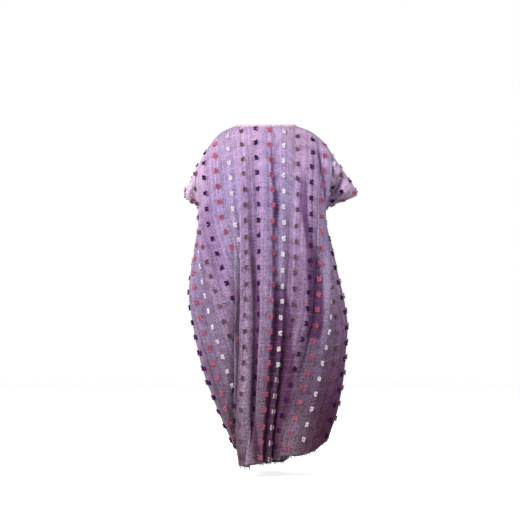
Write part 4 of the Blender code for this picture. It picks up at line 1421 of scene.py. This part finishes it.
def blurred_round(ways, passes=6):
    """Unit vectors round a ring, averaged with their neighbours."""
    for _ in range(passes):
        ways = unit(np.roll(ways, 1, axis=0) + 2 * ways + np.roll(ways, -1, axis=0))
    return ways


def neck_edge(count):
    """Points round the neck opening, the ways beyond it and out of the cloth."""
    places = NECK_FLAT * np.sin(np.linspace(-math.pi / 2, math.pi / 2, count))
    ends = (("back", places), ("front", places[-2:0:-1]))
    edge = np.concatenate([on_cloth(side, at, np.zeros(len(at))) for side, at in ends])
    out = np.concatenate([on_cloth(side, at, np.full(len(at), 0.004), "out") for side, at in ends])
    along = np.roll(edge, -1, axis=0) - np.roll(edge, 1, axis=0)
    beyond = blurred_round(unit(np.cross(along, blurred_round(out))))
    return edge, beyond, unit(np.cross(beyond, along))


edge, beyond, thick = neck_edge(72)
ring = np.array([edge + beyond * b + thick * t for b, t in BINDING_SECTION])
rows, columns = ring.shape[:2]
index = np.arange(rows * columns).reshape(rows, columns).tolist()
faces = [
    (index[i][j], index[i][j - 1], index[(i + 1) % rows][j - 1], index[(i + 1) % rows][j])
    for i in range(rows)
    for j in range(columns)
]
binding_cloth = make_trim("neck_binding_cloth", (0.52, 0.36, 0.48), (0.68, 0.50, 0.60), 0.0009)
binding = new_piece("neck_band", ring, faces, binding_cloth)
uv = binding.data.uv_layers.new(name=CLOTH_UV)
around, length = run_length(ring[:, 0]), run_length(edge)
for corner in binding.data.loops:
    row, column = divmod(corner.vertex_index, columns)
    uv.data[corner.index].uv = (around[row], length[column])
binding.data.shade_smooth()
print("neck band:", len(binding.data.polygons), "faces round", round(float(length[-1]), 2), "m")

# %% [markdown]
# ## Stitches
#
# Machine stitches hold the hems and the binding, and their size tells the eye how big the robe
# is. A tree walks along a line, and sets a small rounded stitch at every step, turned along the
# line and lying on the cloth. Each line is a bare mesh edge with the way out of the cloth stored
# at its points.

# %% Build the stitch tree


def steps_along(tree, given):
    """Points along a line of edges, a spacing apart."""
    inputs = {"Curve": add(tree, "MeshToCurve", [given["Line"]]), "Length": given["Spacing"]}
    return add(tree, "CurveToPoints", inputs, mode="LENGTH")


def make_stitch_tree():
    tree, given, out = new_tree(
        "stitch_row", "Geometry",
        {"Line": "Geometry", "Spacing": 0.0036, "Length": 0.0025, "Thread": 0.0005,
         "Material": "Material"},
        {"Stitches": "Geometry"},
    )
    steps = steps_along(tree, given)
    turn = facing(tree, named(tree, "out"), steps["Tangent"])
    bead = add(tree, "MeshUVSphere", [6, 4, 0.5])
    size = add(tree, "CombineXYZ", [given["Length"], given["Thread"], given["Thread"]])
    finish_tree(tree, out, set_out(tree, steps, bead, turn, size), given["Material"])
    return tree


stitch_tree = make_stitch_tree()
print("stitch tree:", len(stitch_tree.nodes), "nodes")

# %% Sew the lines


def closed_lines(name, lines, **more):
    """Closed lines of points with the way out at each, in one carrier mesh."""
    counts = [len(line) for line, _ in lines]
    starts = np.cumsum([0, *counts])
    edges = [(s + n, s + (n + 1) % count) for s, count in zip(starts, counts) for n in range(count)]
    points, outs = (np.concatenate([line[k] for line in lines]) for k in (0, 1))
    return carrier_of(name, points, [tuple(map(int, edge)) for edge in edges], out=outs, **more)


def on_strip(stations, t, lift):
    """A line over a strip, t of the way in, lifted clear of it."""
    points, out = strip_points(stations, 21)
    column = round(t * 20)
    ways = unit(out[:, column])
    return points[:, column] + ways * lift, ways


thread = make_yarn("sewing_thread", (0.52, 0.38, 0.52), (0.60, 0.46, 0.58), 0.2, 2500.0)
dark_thread = make_yarn("hem_thread", (0.030, 0.016, 0.030), (0.09, 0.05, 0.08), 0.2, 2500.0)
cuff_rows = [on_strip(cuff_stations(hand), t, 0.0012) for hand in (1, -1) for t in (0.2, 0.85)]
neck_row = (edge + beyond * 0.0010 + thick * 0.0014, thick)
hem_row = on_strip(hem_stations(), 0.8, 0.0015)
light_stitches = run_tree(
    stitch_tree, closed_lines("edge_stitches", [*cuff_rows, neck_row]), {"Material": thread}
)
dark_stitches = run_tree(
    stitch_tree, closed_lines("hem_stitches", [hem_row]),
    {"Material": dark_thread, "Spacing": 0.0042, "Length": 0.0028},
)
print("stitches:", (len(light_stitches.data.polygons) + len(dark_stitches.data.polygons)) // 24)

# %% [markdown]
# ## Fringe at the hem
#
# The bottom hem is rolled over the cut ends of the warp, and short ends of it stand out below
# the roll, mostly dark, with a few white ones. Each is a thin bent thread with three sides,
# since hundreds of them hang there. The same kind of tree sows them along the hem, with a length
# and a swing of its own for each, from a fixed seed.

# %% Build the fringe tree and hang it
FRINGE_BEND = ((0, 0, 0), (0.1, 0.0, 0.55), (0.28, 0.0, 1.0))
MOST_SWING = (0.45, 0.45, 3.14)  # turns about each axis


def make_fringe_tree():
    tree, given, out = new_tree(
        "hem_fringe", "Geometry",
        {"Line": "Geometry", "Spacing": 0.0040, "Length": 0.0120, "Thread": 0.0024, "Seed": 3,
         "Material": "Material"},
        {"Fringe": "Geometry"},
    )
    shade = random_in(tree, 0.0, 1.0, given["Seed"]).math("POWER", 4.0)
    kept = shade_kept(tree, steps_along(tree, given), shade)
    taper = add(tree, "SplineParameter")["Factor"] * -0.45 + 1.0
    section = given["Thread"].math("DIVIDE", given["Length"])
    hair = bent_yarn(tree, 2, FRINGE_BEND, 3, section * 0.5, taper)
    least = tuple(-turn for turn in MOST_SWING)
    swing = add(tree, "RandomValue", [least, MOST_SWING], data_type="FLOAT_VECTOR")
    turn = facing(tree, named(tree, "down"), named(tree, "out"))
    turn = add(tree, "RotateRotation", [turn, swing], rotation_space="LOCAL")
    length = random_in(tree, 0.45, 1.3, 9) * given["Length"]
    size = add(tree, "CombineXYZ", [length] * 3)
    finish_tree(tree, out, set_out(tree, kept, hair, turn, size), given["Material"])
    return tree


points, out = strip_points(hem_stations(), 2)
down = unit(points[:, 0] - points[:, 1])
hem_line = closed_lines("hem_fringe", [(points[:, 0], unit(out[:, 0]))], down=down)
ends = make_yarn("fringe_yarn", (0.022, 0.010, 0.018), (0.85, 0.70, 0.80), 0.3, 2000.0)
fringe = run_tree(make_fringe_tree(), hem_line, {"Material": ends})
print("fringe:", len(fringe.data.polygons), "faces")

# %% [markdown]
# ## What each piece is
#
# Everything here is one body, since a robe has no joints. The two widths stand for the frame's
# panels and the neck band for its binding.

# %% Attach the pieces to the body, and hide the frame's parts they stand for
for side, piece in sheets.items():
    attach(piece, "root")
    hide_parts(f"{side}_yoke", f"{side}_panel", f"{side}_skirt")
    for tuft in tufts[side]:
        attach(tuft, "root")
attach(binding, "root")
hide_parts("neck_binding")
for piece in [*trims, light_stitches, dark_stitches, fringe]:
    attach(piece, "root")
sewn_to_back = [*trims, binding, light_stitches, dark_stitches, fringe]
for side, sewn in (("back", sewn_to_back), ("front", [])):
    print(f"on the {side} width:", len(tufts[side]) + len(sewn), "pieces")

# %% [markdown]
# ## Floor, light and camera
#
# The robe hangs by itself over a plain pale floor. A big soft lamp high on the wearer's left,
# behind the robe, shapes the folds, weaker ones fill the other sides, and a pale sky does the
# rest. The camera stands straight behind, far off with a long lens, so that the hem and the
# shoulders keep their true proportions.

# %% Lay the floor
FLOOR_Z = -1.435
FLOOR_RADIUS = 9.0


def make_floor():
    rim = np.linspace(0, 2 * math.pi, 96, endpoint=False)
    points = np.stack([np.cos(rim), np.sin(rim), 0 * rim], axis=1) * FLOOR_RADIUS
    floor = new_piece("floor", points + [0, 0, FLOOR_Z], [tuple(range(96))])
    material, tree, shader = new_material("pale_floor", 0.8, 0.0)
    patchy = noise(add(tree, "TexCoord")["Object"], 3.0, 3)
    pale = mixed(tree, patchy, (0.92, 0.92, 0.93), (0.95, 0.95, 0.95))
    seen = add(tree, "LightPath")["Is Camera Ray"]
    fill(shader, {
        "Base Color": mixed(tree, seen, (0.30, 0.30, 0.30), pale),
        "Emission Color": pale, "Emission Strength": seen * 0.68,
    })
    floor.data.materials.append(material)


make_floor()
print("the floor lies", round(lowest - FLOOR_Z, 3), "m below the lowest hem")

# %% Light it


def soft_lamp(name, place, towards, size, power):
    data = bpy.data.lights.new(name, "AREA")
    data.shape, data.size, data.energy = "DISK", size, power
    lamp = bpy.data.objects.new(name, data)
    lamp.location = place
    lamp.rotation_euler = (Vector(towards) - Vector(place)).to_track_quat("-Z", "Y").to_euler()
    bpy.context.scene.collection.objects.link(lamp)


def pale_sky(strength):
    """A weak even light from all round, and a white ground behind the robe."""
    world = bpy.data.worlds.new("pale_sky")
    world.use_nodes = True
    tree = world.node_tree
    sky = fill(tree.nodes["Background"], {"Color": (0.93, 0.93, 0.95, 1), "Strength": strength})
    ground = add(tree, "Background", {"Color": (1, 1, 1, 1), "Strength": 1.0})
    seen = add(tree, "LightPath")["Is Camera Ray"]
    both = add(tree, "MixShader", [seen, Value(sky.outputs[0]), ground])
    fill(tree.nodes["World Output"], {"Surface": both})
    bpy.context.scene.world = world


soft_lamp("key", (3.0, 3.4, 2.8), (0, 0, -0.4), 2.6, 310)
soft_lamp("fill", (-3.6, 1.9, 0.6), (0, 0, -0.5), 2.6, 88)
soft_lamp("low_fill", (3.0, 1.6, -0.6), (0.3, 0, -0.3), 1.8, 45)
soft_lamp("front_fill", (0.6, -4.0, 1.4), (0, 0, -0.6), 3.0, 70)
pale_sky(0.34)
bpy.context.scene.view_settings.view_transform = "Standard"
print("lamps:", ", ".join(sorted(lamp.name for lamp in bpy.data.lights)))

# %% Set the camera
METRES_ACROSS = 2.132  # what the frame takes in at the robe
CAMERA_AWAY = 12.0
LOOKS_AT = (0.0246, 0.0, -0.5556)

lens = bpy.data.cameras.new("camera")
lens.sensor_width = 36.0
lens.lens = lens.sensor_width * CAMERA_AWAY / METRES_ACROSS
lens.clip_end = 60.0
camera = bpy.data.objects.new("camera", lens)
camera.location = (LOOKS_AT[0], CAMERA_AWAY, LOOKS_AT[2])
camera.rotation_euler = (math.pi / 2, 0.0, math.pi)
bpy.context.scene.collection.objects.link(camera)
bpy.context.scene.camera = camera
print("lens:", round(lens.lens), "mm")

# %% Finish
bpy.context.view_layer.update()
